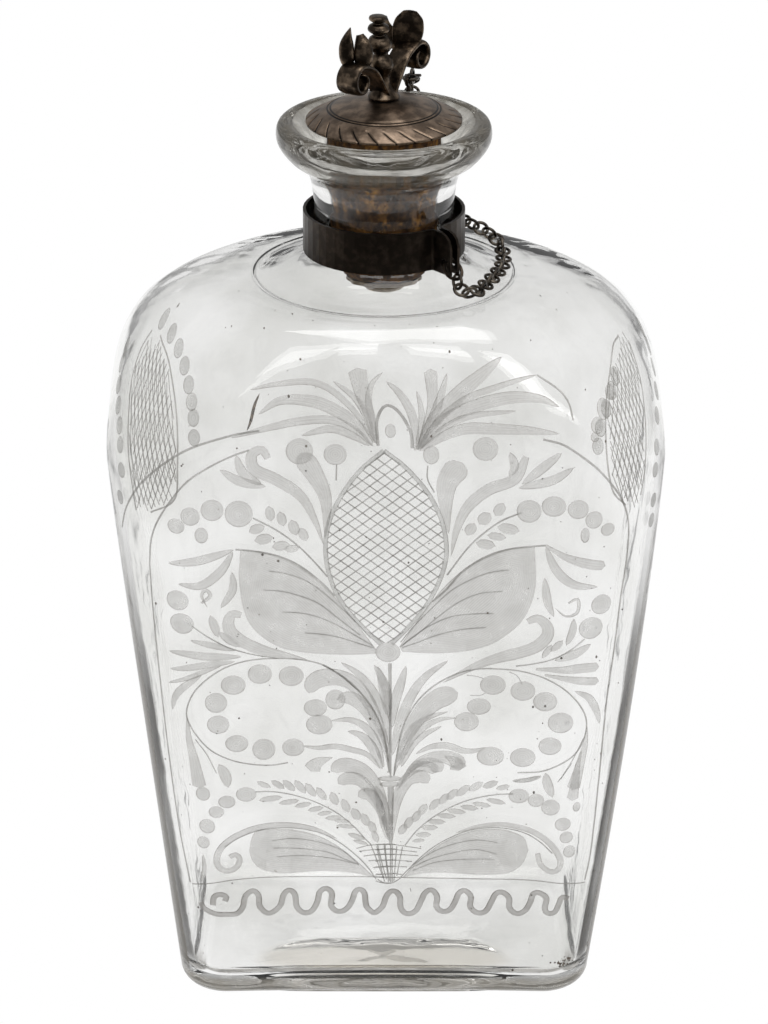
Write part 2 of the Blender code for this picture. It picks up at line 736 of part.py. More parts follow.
def rod_rivet():
    """The hammered head that keeps the washer and the cork on the rod."""
    top = CORK_BOTTOM - GAP - WASHER_THICKNESS - GAP - SLIM_GAP
    profile = [(0.0, top), (RIVET_RADIUS, top), (RIVET_RADIUS, top - RIVET_HEIGHT * 0.35),
               (RIVET_RADIUS * 0.8, top - RIVET_HEIGHT * 0.75), (RIVET_RADIUS * 0.4, top - RIVET_HEIGHT),
               (0.0, top - RIVET_HEIGHT)]
    return add_object("rod_rivet", turned("rod_rivet", profile, steps=20),
                      material("rivet_silver", (0.42, 0.37, 0.30), 0.5, 1.0))


# Finial

def blade(name, spine, widths, thicknesses, flat_way, sides=8):
    """A cast bar along a spine; flat_way is the direction that its width runs in."""
    rings = []
    for k, point in enumerate(spine):
        before = spine[max(k - 1, 0)]
        after = spine[min(k + 1, len(spine) - 1)]
        along = (after - before).normalized()
        wide = (flat_way - along * flat_way.dot(along)).normalized()
        thick = along.cross(wide)
        ring = []
        for j in range(sides):
            angle = math.tau * (j + 0.5) / sides
            across = math.copysign(abs(math.cos(angle)) ** 0.7, math.cos(angle))
            through = math.copysign(abs(math.sin(angle)) ** 0.7, math.sin(angle))
            ring.append(point + wide * widths[k] / 2 * across + thick * thicknesses[k] / 2 * through)
        rings.append(ring)
    return loft(name, rings)


def crest_frame():
    return Matrix.Translation((0.0, 0.0, CAP_APEX + SLIM_GAP)) @ Matrix.Rotation(CREST_AZIMUTH, 4, "Z")


def scroll_spine(side):
    """From the foot out and over the roll, down and back under it."""
    points = [Vector((side * 0.0012, 0.0, 0.0006)), Vector((side * 0.0036, 0.0, 0.0030)),
              Vector((side * ROLL_REACH * 0.44, 0.0, ROLL_LEVEL * 0.95))]
    middle = ROLL_RADIUS - SCROLL_THICKNESS / 2
    centre = Vector((side * (ROLL_REACH - middle), 0.0, ROLL_LEVEL))
    for step in range(9):
        angle = math.radians(125.0 - 42.0 * step)
        tighten = middle * (1.0 - 0.055 * step)
        points.append(centre + tighten * Vector((side * math.cos(angle), 0.0, math.sin(angle))))
    return points


def leaf_spine(side):
    """From the top of the roll up and a little outwards, to the leaf's tip."""
    root = Vector((side * (ROLL_REACH - ROLL_RADIUS), 0.0, ROLL_LEVEL + ROLL_RADIUS * 0.5))
    points = []
    for step in range(6):
        share = step / 5
        lean = math.sin(math.pi * 0.9 * share) * 0.0016 - 0.0004 * share
        points.append(root + Vector((side * lean, 0.0, LEAF_HEIGHT * share)))
    return points


def finial():
    finish = material("finial_silver", (0.12, 0.10, 0.085), 0.40, 1.0)
    height = FINIAL_HEIGHT
    knob = KNOB_RADIUS
    profile = [
        (0.0, 0.0), (FINIAL_FOOT, 0.0), (FINIAL_FOOT * 0.92, height * 0.05), (knob * 0.75, height * 0.16),
        (knob * 0.62, height * 0.30), (knob * 0.95, height * 0.42), (knob * 0.88, height * 0.50),
        (knob * 0.52, height * 0.57), (knob * 0.98, height * 0.66), (knob, height * 0.71),
        (knob * 0.55, height * 0.77), (knob * 0.88, height * 0.83), (knob * 0.84, height * 0.87),
        (knob * 0.42, height * 0.90), (knob * 0.66, height * 0.95), (knob * 0.55, height * 0.99),
        (0.0, height),
    ]
    mesh = turned("finial", profile, steps=14)
    # the knob was cast a little off upright
    lean = Matrix.Identity(4)
    lean[0][2] = -KNOB_LEAN
    mesh.transform(Matrix.Translation((0.0, 0.0, CAP_APEX + SLIM_GAP)) @ lean)
    made = add_object("finial", mesh, finish, smooth_angle=50.0)
    across = Vector((0.0, 1.0, 0.0))
    for side, label in ((-1.0, "left"), (1.0, "right")):
        spine = scroll_spine(side)
        count = len(spine)
        widths = [SCROLL_WIDTH * (0.62 + 0.38 * min(k / 3, 1.0)) for k in range(count)]
        thicknesses = [SCROLL_THICKNESS * (1.15 - 0.35 * k / (count - 1)) for k in range(count)]
        bar = blade(f"scroll_{label}", spine, widths, thicknesses, across)
        bar.transform(crest_frame())
        combine(made, add_object(f"scroll_{label}", bar, finish), "UNION")
        for lean, half in ((-1.0, "front"), (1.0, "back")):
            stem = [p + across * lean * LEAF_SPREAD * math.sin(math.pi * 0.8 * k / 5) for k, p in
                    enumerate(leaf_spine(side))]
            leaf_widths = [LEAF_WIDTH * share for share in (0.30, 0.52, 0.62, 0.56, 0.38, 0.12)]
            leaf_thick = [SCROLL_THICKNESS * share for share in (0.9, 0.85, 0.8, 0.7, 0.55, 0.3)]
            leaf = blade(f"leaf_{label}_{half}", stem, leaf_widths, leaf_thick, Vector((1.0, 0.0, 0.0)))
            leaf.transform(crest_frame())
            combine(made, add_object(f"leaf_{label}_{half}", leaf, finish), "UNION")
    return made


def build():
    clear_scene()
    glass_bottle()
    neck_band()
    clamp_ring()
    chain()
    cap_dome()
    cap_eye()
    stopper_rod()
    cork()
    cork_washer()
    rod_rivet()
    finial()


build()
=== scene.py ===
import math
import random

import bmesh
import bpy
import numpy as np
from mathutils import Matrix, Vector


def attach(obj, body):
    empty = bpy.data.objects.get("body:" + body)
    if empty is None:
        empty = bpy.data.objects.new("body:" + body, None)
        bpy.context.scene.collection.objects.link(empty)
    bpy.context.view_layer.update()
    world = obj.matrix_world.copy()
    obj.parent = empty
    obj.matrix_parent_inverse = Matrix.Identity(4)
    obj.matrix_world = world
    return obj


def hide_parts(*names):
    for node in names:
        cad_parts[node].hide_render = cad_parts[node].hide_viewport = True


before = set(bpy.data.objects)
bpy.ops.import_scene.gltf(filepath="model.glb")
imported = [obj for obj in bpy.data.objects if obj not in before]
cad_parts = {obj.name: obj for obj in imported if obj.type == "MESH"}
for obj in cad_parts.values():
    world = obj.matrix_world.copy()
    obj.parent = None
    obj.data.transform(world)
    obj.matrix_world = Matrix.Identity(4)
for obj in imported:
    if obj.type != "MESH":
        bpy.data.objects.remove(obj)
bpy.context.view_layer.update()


# Camera
# The flask is seen square on its engraved front, from a metre away and a little above the lip.
# The lens is long, so the upright edges hardly draw together.

PHOTO_TALL, FOCAL_PIXELS, SENSOR_TALL = 1024, 4081.0, 24.0
AIM, LOOK_DOWN, DISTANCE = Vector((0.0, 0.0, 0.1190)), math.radians(23.5), 1.0


def stand(name, data):
    """Put a camera, lamp or mesh into the scene."""
    made = bpy.data.objects.new(name, data)
    bpy.context.scene.collection.objects.link(made)
    return made


eye = bpy.data.cameras.new("camera")
eye.sensor_fit = "VERTICAL"
eye.sensor_height = SENSOR_TALL
eye.lens = SENSOR_TALL * FOCAL_PIXELS / PHOTO_TALL
eye.clip_start = 0.01
camera = stand("camera", eye)
camera.location = AIM + DISTANCE * Vector((0.0, -math.cos(LOOK_DOWN), math.sin(LOOK_DOWN)))
camera.rotation_euler = (math.radians(90.0) - LOOK_DOWN, 0.0, 0.0)
bpy.context.scene.camera = camera
bpy.context.scene.view_settings.view_transform = "Standard"


# Studio
# A white sweep under and behind the flask, a large soft lamp over it and four panes of a window at the front.
# Seen through the glass the sweep's glow is painted dimmer far off, and seen mirrored in it the glow is painted
# dark towards the front: painted shade, which gives the clear glass its grey edges.

SWEEP, SWEEP_LEVEL, SWEEP_PAINT = 3.0, -0.0005, 0.80
# the sweep's glow in the glass: clear up to CLEAR_REACH metres, painted down to the far shade grey by DIM_REACH,
# and in reflections painted down to the front shade grey between FRONT_REACH metres towards the front
CLEAR_REACH, DIM_REACH, FAR_PAINTED_SHADE_GREY = 1.00, 1.8, 0.30
FRONT_REACH, FRONT_PAINTED_SHADE_GREY = (0.14, 0.34), 0.10
ROOM_GLOW = 0.42
# each lamp's name, place, width and height in metres, and power in watts
LAMPS = (("top_lamp", (0.1, -0.2, 1.3), (1.0, 1.0), 8.0),
         ("left_pane", (-0.62, -1.1, 1.0), (0.40, 0.42), 1.4),
         ("middle_pane", (-0.22, -1.15, 1.0), (0.36, 0.42), 1.4),
         ("right_pane", (0.42, -1.15, 1.0), (0.42, 0.36), 1.3),
         ("far_pane", (0.98, -1.05, 1.0), (0.30, 0.36), 1.2))
# light goes through several walls of glass, so rays are followed further than they are by default
GLASS_BOUNCES, MIRROR_BOUNCES = 24, 16


class Flow:
    """A socket of a material that adds, multiplies and compares like a number."""

    def __init__(self, tree, socket=None):
        self.tree = tree
        self.socket = socket

    def node(self, kind, values=None, out=0, **settings):
        """Add a node: its settings first, then numbers, colours or links for its inputs."""
        made = self.tree.nodes.new("ShaderNode" + kind)
        for key, value in settings.items():
            setattr(made, key, value)
        for key, value in (values or {}).items():
            if isinstance(value, Flow):
                self.tree.links.new(value.socket, made.inputs[key])
            elif isinstance(value, tuple) and len(value) == 3 and made.inputs[key].type == "RGBA":
                made.inputs[key].default_value = (*value, 1.0)
            else:
                made.inputs[key].default_value = value
        return Flow(self.tree, made.outputs[out] if made.outputs else None)

    def maths(self, operation, *terms):
        return self.node("Math", dict(enumerate(terms)), operation=operation)

    def __add__(self, other):
        return self.maths("ADD", self, other)

    def __sub__(self, other):
        return self.maths("SUBTRACT", self, other)

    def __rsub__(self, other):
        return self.maths("SUBTRACT", other, self)

    def __mul__(self, other):
        return self.maths("MULTIPLY", self, other)

    def __truediv__(self, other):
        return self.maths("DIVIDE", self, other)

    def __pow__(self, other):
        return self.maths("POWER", self, other)

    def __abs__(self):
        return self.maths("ABSOLUTE", self)

    __radd__ = __add__
    __rmul__ = __mul__

    def most(self, other):
        return self.maths("MAXIMUM", self, other)

    def least(self, other):
        return self.maths("MINIMUM", self, other)

    def above(self, low, high):
        """0 below low, 1 above high, and smooth between them."""
        return self.node("MapRange", {"Value": self, "From Min": low, "From Max": high},
                         interpolation_type="SMOOTHSTEP")

    def below(self, low, high):
        """1 below low, 0 above high, and smooth between them."""
        return 1.0 - self.above(low, high)

    def noise(self, scale, detail=3.0, stretch=(1.0, 1.0, 1.0)):
        """Cloudy noise at so many lumps to the metre, stretched along the axes."""
        place = self.node("TexCoord", out="Object")
        place = self.node("VectorMath", {0: place, 1: stretch}, operation="MULTIPLY")
        return self.node("TexNoise", {"Vector": place, "Scale": scale, "Detail": detail, "Roughness": 0.55})

    def axes(self):
        """The three coordinates of the object's own frame."""
        split = self.node("SeparateXYZ", {0: self.node("TexCoord", out="Object")})
        return [Flow(self.tree, axis) for axis in split.socket.node.outputs]

    def blend(self, first, second):
        """A colour mix, with this value as the share of the second colour."""
        return self.node("Mix", {0: self, 6: first, 7: second}, out=2, data_type="RGBA")

    def bump(self, depth, strength=1.0):
        """This value as relief, its height given in metres."""
        return self.node("Bump", {"Height": self, "Distance": depth, "Strength": strength})


def grey(level):
    return (level, level, level)


def sweep_paint():
    """Pale paint that glows white; seen through or off the glass its glow is painted dimmer far off and, in
    reflections, darker towards the front: painted shade.
    """
    made = bpy.data.materials.new("studio_white")
    made.use_nodes = True
    made.node_tree.nodes.clear()
    flow = Flow(made.node_tree)
    straight = flow.node("LightPath", out="Is Camera Ray")
    through_glass = flow.node("LightPath", out="Is Transmission Ray")
    mirrored = flow.node("LightPath", out="Is Glossy Ray") * (1.0 - through_glass)
    away = flow.node("VectorMath", {0: flow.node("TexCoord", out="Object")}, out="Value", operation="LENGTH")
    forward = 0.0 - flow.axes()[1]
    # painted shade: the glow seen through or off the glass is dimmed far off, and darkened towards the front in
    # reflections
    far = away.above(CLEAR_REACH, DIM_REACH) * (1.0 - straight)
    front = forward.above(*FRONT_REACH) * mirrored
    white = front.blend(far.blend(grey(1.0), grey(FAR_PAINTED_SHADE_GREY)), grey(FRONT_PAINTED_SHADE_GREY))
    glow = flow.node("Emission", {"Color": white})
    paint = flow.node("BsdfDiffuse", {"Color": grey(SWEEP_PAINT)})
    shown = straight.most(through_glass.most(mirrored))
    flow.node("OutputMaterial", {"Surface": flow.node("MixShader", {0: shown, 1: paint, 2: glow})})
    return made


shape = bmesh.new()
bmesh.ops.create_grid(shape, x_segments=2, y_segments=2, size=SWEEP)
sweep = bpy.data.meshes.new("floor")
shape.to_mesh(sweep)
shape.free()
sweep.materials.append(sweep_paint())
floor = stand("floor", sweep)
floor.location.z = SWEEP_LEVEL

for name, place, size, power in LAMPS:
    lamp = bpy.data.lights.new(name, "AREA")
    lamp.shape = "RECTANGLE"
    lamp.size, lamp.size_y = size
    lamp.energy = power
    holder = stand(name, lamp)
    holder.location = place
    holder.rotation_euler = (Vector(place) - AIM).to_track_quat("Z", "Y").to_euler()

room = bpy.data.worlds.new("room")
room.use_nodes = True
bpy.context.scene.world = room
wall = Flow(room.node_tree).node("LightPath", out="Is Camera Ray").blend(grey(ROOM_GLOW), grey(1.0))
room.node_tree.links.new(wall.socket, room.node_tree.nodes["Background"].inputs["Color"])
bpy.context.scene.cycles.max_bounces = GLASS_BOUNCES
bpy.context.scene.cycles.transmission_bounces = GLASS_BOUNCES
bpy.context.scene.cycles.glossy_bounces = MIRROR_BOUNCES


# Glass flask
# Clear lead-free glass blown into a tapered mould, its base pushed up and its lip turned out by hand.
# The inside wall runs parallel to the outside one, thicker at the foot. Old batches have an olive tinge, which
# tints the kick, the foot's front rim and the lip; over the front corners, the foot's front rim and the lip's roll
# an opaque olive grey, the glass's tinge darkened into painted shade, stands for the dark edges the thick glass
# shows.

FOOT_WIDTH, FOOT_DEPTH, FOOT_CORNER, FOOT_ROUND = 0.1010, 0.0624, 0.0118, 0.0053
BODY_WIDTH, BODY_DEPTH, BODY_CORNER, WIDEST_LEVEL = 0.1330, 0.0870, 0.0240, 0.1428
TAPER_FULLNESS, WIDTH_FULLNESS, DEPTH_FULLNESS, FACE_SINK = 1.12, 2.78, 4.0, 0.0012
FOOT_WALL, BODY_WALL, SHOULDER_WALL, FLOOR_WALL = 0.0030, 0.0020, 0.0016, 0.0045
KICK_WIDTH, KICK_DEPTH, KICK_HEIGHT, KICK_SQUARENESS = 0.0640, 0.0205, 0.0027, 2.2
KICK_FORWARD, INNER_CORNER = 0.0172, 0.004
CREASE_LEVEL, CREASE_RADIUS, WELD_GAP = 0.1818, 0.0309, 1e-6
LEAN = 0.00075  # the mould stood a little askew, so the body swells to the right
CORNER_STEPS, FACE_STEPS, BODY_STEPS, SHOULDER_STEPS, FOOT_STEPS, KICK_STEPS = 22, 14, 44, 26, 8, 14

# Neck and lip, radius and level, drawn up from the shoulder's crease, a thin cord left by the mould's top edge
WAIST = 0.1985
NECK_PROFILE = [(0.03180, CREASE_LEVEL), (0.03135, CREASE_LEVEL + 0.00012), (0.03090, CREASE_LEVEL - 0.00005),
                (0.03030, CREASE_LEVEL + 0.00014), (0.02523, 0.18248), (0.02107, 0.18442), (0.01830, 0.1875),
                (0.01715, 0.19300), (0.01660, WAIST), (0.01775, 0.2065), (0.02010, 0.20920)]
LIP_PROFILE = [(0.02230, 0.21080), (0.02420, 0.21300), (0.02530, 0.21500), (0.02550, 0.21700), (0.02500, 0.21870),
               (0.02370, 0.21955), (0.02230, 0.21950), (0.02100, 0.21880), (0.01960, 0.21740)]
BORE_PROFILE = [(0.01800, 0.21560), (0.01560, 0.21280), (0.01420, 0.21000), (0.01375, 0.20600), (0.01300, 0.20100),
                (0.01280, WAIST), (0.01380, 0.19350), (0.01530, 0.18850), (0.01760, 0.18510), (0.02100, 0.18270),
                (0.02600, 0.18110), (0.03090, 0.18020)]


def section(half_width, half_depth, corner, squareness, level, sink=0.0):
    """A ring between an ellipse (squareness 0) and a rounded rectangle (squareness 1), its broad faces sunk a
    little in the middle."""
    ring = []
    face_turn = math.radians(15.0)
    for quarter in range(4):
        middle = math.radians(45.0 + 90.0 * quarter)
        sign_x = 1.0 if quarter in (0, 3) else -1.0
        sign_y = 1.0 if quarter in (0, 1) else -1.0
        centre = np.array((sign_x * (half_width - corner), sign_y * (half_depth - corner)))
        for k in range(CORNER_STEPS + 1):
            share = k / CORNER_STEPS - 0.5
            angle = middle + math.radians(90.0) * share
            square = centre + corner * np.array((math.cos(angle), math.sin(angle)))
            turn = middle + (math.radians(90.0) - 2 * face_turn) * share
            ellipse = np.array((half_width * math.cos(turn), half_depth * math.sin(turn)))
            ring.append(ellipse * (1.0 - squareness) + square * squareness)
        if quarter in (0, 2):
            start = np.array((sign_x * (half_width - corner), sign_y * half_depth))
            end = np.array((-start[0], start[1]))
        else:
            start = np.array((sign_x * half_width, sign_y * (half_depth - corner)))
            end = np.array((start[0], -start[1]))
        for k in range(1, FACE_STEPS):
            share = k / FACE_STEPS
            turn = middle + math.radians(45.0) - face_turn + 2 * face_turn * share
            ellipse = np.array((half_width * math.cos(turn), half_depth * math.sin(turn)))
            ring.append(ellipse * (1.0 - squareness) + (start * (1.0 - share) + end * share) * squareness)
    sunk = []
    for x, y in ring:
        across = min(abs(x) / half_width, 1.0)
        near = min(max((abs(y) / half_depth - 0.5) / 0.3, 0.0), 1.0)
        sunk.append((x, y - math.copysign(sink * (1.0 - across * across) * near, y), level))
    return sunk


def taper_half(level, foot, widest):
    share = min(max(level / WIDEST_LEVEL, 0.0), 1.0)
    return foot / 2 + (widest - foot) / 2 * (1.0 - (1.0 - share) ** TAPER_FULLNESS)


def shoulder_half(level, widest, fullness):
    share = min(max((level - WIDEST_LEVEL) / (CREASE_LEVEL - WIDEST_LEVEL), 0.0), 1.0)
    return CREASE_RADIUS + (widest / 2 - CREASE_RADIUS) * (1.0 - share ** fullness) ** (1.0 / fullness)


def body_sizes(level):
    """Half width, half depth, corner radius, squareness and face sink of the body at a level."""
    corner = FOOT_CORNER + (BODY_CORNER - FOOT_CORNER) * min(level / WIDEST_LEVEL, 1.0)
    if level <= WIDEST_LEVEL:
        return (taper_half(level, FOOT_WIDTH, BODY_WIDTH), taper_half(level, FOOT_DEPTH, BODY_DEPTH),
                corner, 1.0, FACE_SINK)
    climb = (level - WIDEST_LEVEL) / (CREASE_LEVEL - WIDEST_LEVEL)
    half_depth = shoulder_half(level, BODY_DEPTH, DEPTH_FULLNESS)
    return (shoulder_half(level, BODY_WIDTH, WIDTH_FULLNESS), half_depth,
            min(corner, half_depth), 1.0 - climb * climb * (3.0 - 2.0 * climb), FACE_SINK * (1.0 - climb))


def body_ring(level, wall=0.0):
    half_width, half_depth, corner, squareness, sink = body_sizes(level)
    ring = section(half_width - wall, half_depth - wall, max(corner - wall, INNER_CORNER), squareness, level, sink)
    lean = LEAN * math.sin(math.pi * min(level / CREASE_LEVEL, 1.0))
    return [(x + lean, y, z) for x, y, z in ring]


def body_levels(steps):
    """Levels from the foot's rounding up to the widest place."""
    return [FOOT_ROUND + (WIDEST_LEVEL - FOOT_ROUND) * k / steps for k in range(steps + 1)]


def shoulder_levels(steps):
    """Levels over the widest place and under the crease, closer together near the crease."""
    return [WIDEST_LEVEL + (CREASE_LEVEL - WIDEST_LEVEL) * math.sin(math.radians(90.0) * k / steps)
            for k in range(1, steps)]


def kick_rings(floor_level):
    """The hollow pushed up in the foot, from its middle outwards."""
    rings = [[(0.0, -KICK_FORWARD, floor_level + KICK_HEIGHT)] * (4 * (CORNER_STEPS + FACE_STEPS))]
    for step in range(1, KICK_STEPS + 1):
        share = step / KICK_STEPS
        level = floor_level + KICK_HEIGHT * (1.0 - share ** KICK_SQUARENESS)
        half_depth = KICK_DEPTH / 2 * share
        ring = section(KICK_WIDTH / 2 * share, half_depth, half_depth * 0.9, 0.8, level)
        rings.append([(x, y - KICK_FORWARD, z) for x, y, z in ring])
    return rings


def foot_rings(floor_level, wall):
    """The rounding between the foot and the walls, from the foot upwards."""
    rings = []
    for step in range(FOOT_STEPS + 1):
        angle = math.radians(90.0) * step / FOOT_STEPS
        inset = wall + FOOT_ROUND * (1.0 - math.sin(angle))
        level = floor_level + FOOT_ROUND * (1.0 - math.cos(angle))
        rings.append([(x, y, level) for x, y, _ in body_ring(floor_level + FOOT_ROUND, inset)])
    return rings


def through(points, per_span=8):
    """A smooth line through the given points, of any number of dimensions."""
    points = [np.array(p, float) for p in points]
    ends = [2 * points[0] - points[1]] + points + [2 * points[-1] - points[-2]]
    line = []
    for before, here, there, after in zip(ends, ends[1:], ends[2:], ends[3:]):
        for j in range(per_span):
            t = j / per_span
            line.append(0.5 * (2 * here + (there - before) * t + (2 * before - 5 * here + 4 * there - after) * t * t
                               + (3 * here - before - 3 * there + after) * t ** 3))
    line.append(points[-1])
    return line


def loft(name, rings, closed=False):
    """Skin rings of equal length into one surface."""
    rows = np.array(rings, float)
    count = rows.shape[1]
    faces = []
    pairs = [(k, k + 1) for k in range(len(rows) - 1)]
    if closed:
        pairs.append((len(rows) - 1, 0))
    for low, high in pairs:
        for j in range(count):
            after = (j + 1) % count
            faces.append((low * count + j, low * count + after, high * count + after, high * count + j))
    mesh = bpy.data.meshes.new(name)
    mesh.from_pydata([tuple(p) for p in rows.reshape(-1, 3)], [], faces)
    shape = bmesh.new()
    shape.from_mesh(mesh)
    bmesh.ops.remove_doubles(shape, verts=shape.verts, dist=WELD_GAP)
    bmesh.ops.recalc_face_normals(shape, faces=shape.faces)
    shape.to_mesh(mesh)
    shape.free()
    mesh.shade_smooth()
    return stand(name, mesh)


def finish(name, **constants):
    """A Principled material; varying inputs are joined to its shader afterwards."""
    made = bpy.data.materials.new(name)
    made.use_nodes = True
    shader = made.node_tree.nodes["Principled BSDF"]
    for key, value in constants.items():
        shader.inputs[key.replace("_", " ")].default_value = value

    def join(key, value):
        made.node_tree.links.new(value.socket, shader.inputs[key])
    return made, Flow(made.node_tree), join


# Colours of the glass and of its painted edge shade, and the places in metres between which its thick parts and
# that shade fade in or out; KICK_EDGE alone is in shares of the kick's own size
CLEAR_TINT, CLOUD_TINT = (0.95, 0.95, 0.945), (0.84, 0.84, 0.825)
KICK_TINT, LIP_TINT = (0.74, 0.70, 0.63), (0.86, 0.84, 0.78)
# painted shade: the opaque olive grey laid over the corner strips and the lip's roll, and the paler grey laid over
# the foot's front rim
EDGE_SHADE_OLIVE, FOOT_SHADE_GREY = (0.125, 0.108, 0.080), (0.36, 0.335, 0.285)
RIM_TOP, RIM_EDGE, RIM_FRONT = (0.0048, 0.0066), (-0.0048, -0.0036), (-0.020, -0.012)
KICK_EDGE, KICK_TOP = (0.7, 1.15), (0.0075, 0.0095)
LIP_FOOT, LIP_ROLL = (0.2075, 0.2105), (0.0190, 0.0215)
STRIP_WIDE, STRIP_FRONT, STRIP_FOOT, STRIP_TOP = 0.0023, (0.0190, 0.0210), (0.002, 0.010), (0.080, 0.135)


def clear_glass():
    """Faintly grey glass with slow ripples, tinted at the kick, foot and lip; an opaque olive grey over its front
    corners, foot rim and lip's roll is painted shade for the dark edges of thick glass, in the glass's own olive
    tinge.
    """
    made, flow, join = finish("clear_glass", Transmission_Weight=1.0, IOR=1.5)
    aside, deep, level = flow.axes()
    forward = 0.0 - deep
    rim = (abs(aside) - FOOT_WIDTH / 2).most(forward - FOOT_DEPTH / 2)
    foot = level.below(*RIM_TOP) * rim.above(*RIM_EDGE) * deep.below(*RIM_FRONT)
    kick = (aside / (KICK_WIDTH / 2)) ** 2.0 + ((deep + KICK_FORWARD) / (KICK_DEPTH / 2)) ** 2.0
    kick = kick.below(*KICK_EDGE) * level.below(*KICK_TOP)
    lip = level.above(*LIP_FOOT)
    tint = flow.noise(26.0).above(0.36, 0.66).blend(CLEAR_TINT, CLOUD_TINT)
    tint = (kick.most(foot) * 0.7).blend(tint, KICK_TINT)
    join("Base Color", lip.blend(tint, LIP_TINT))
    join("Roughness", flow.noise(120.0, 2.0).above(0.45, 0.8) * 0.02)
    ripple = flow.noise(45.0, 2.0, (1.0, 1.0, 0.6)) + flow.noise(140.0, 1.0) * 0.18
    join("Normal", ripple.bump(0.0012, 0.35))

    # painted shade: a strip down each front corner of the lower body, fading out higher up, where the glass's edges
    # show dark
    rise = (level / WIDEST_LEVEL).least(1.0)
    half = (1.0 - (1.0 - rise) ** TAPER_FULLNESS) * ((BODY_WIDTH - FOOT_WIDTH) / 2) + FOOT_WIDTH / 2
    edge = abs(aside - LEAN) - half
    strip = edge.above(-STRIP_WIDE, -STRIP_WIDE * 0.8) * forward.above(*STRIP_FRONT)
    strip = strip * (1.0 - level.above(*STRIP_TOP) * 0.85) * level.above(*STRIP_FOOT)
    # painted shade: how much opaque olive grey covers the glass, streaked on the corner strips and clotted on the
    # lip's roll and the foot's front rim
    streaks = flow.noise(160.0, 3.0, (1.0, 1.0, 0.12)).above(0.35, 0.65)
    clots = flow.noise(210.0).above(0.38, 0.66)
    roll = lip * ((aside * aside + deep * deep) ** 0.5).above(*LIP_ROLL)
    depth = (strip * (streaks * 0.2 + 0.78)).most((roll * (clots * 0.3 + 0.34)).most(foot * (clots * 0.25 + 0.5)))
    thick = flow.node("BsdfPrincipled", {"Base Color": foot.blend(EDGE_SHADE_OLIVE, FOOT_SHADE_GREY), "Roughness": 0.22})
    glass = Flow(made.node_tree, made.node_tree.nodes["Principled BSDF"].outputs[0])
    mixed = flow.node("MixShader", {0: depth, 1: glass, 2: thick})
    made.node_tree.links.new(mixed.socket, made.node_tree.nodes["Material Output"].inputs["Surface"])
    return made


def flask():
    levels, shoulder = body_levels(BODY_STEPS)[1:], shoulder_levels(SHOULDER_STEPS)
    rings = kick_rings(0.0) + foot_rings(0.0, 0.0)
    rings += [body_ring(level) for level in levels + shoulder]
    rings += [section(r, r, r, 0.0, z) for r, z in through(NECK_PROFILE + LIP_PROFILE + BORE_PROFILE, 3)]
    for level in reversed(shoulder[:-1]):
        lowered = level - SHOULDER_WALL * (level - WIDEST_LEVEL) / (CREASE_LEVEL - WIDEST_LEVEL)
        rings.append([(x, y, lowered) for x, y, _ in body_ring(level, BODY_WALL)])
    for level in reversed(levels):
        if level > FLOOR_WALL + FOOT_ROUND:
            rings.append(body_ring(level, FOOT_WALL + (BODY_WALL - FOOT_WALL) * level / WIDEST_LEVEL))
    rings += reversed(foot_rings(FLOOR_WALL, FOOT_WALL))
    rings += reversed(kick_rings(FLOOR_WALL))
    made = loft("flask", rings)
    made.data.materials.append(clear_glass())
    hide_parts("glass_bottle")
    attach(made, "flask")


flask()


# Wheel-cut flowers
# Shallow matt cuts, ground into the outside of the glass by hand on a small wheel: fans of leaves, a net-filled
# tulip between two beaded rings, a waved line along the foot, and beads and a netted leaf on each narrow side.

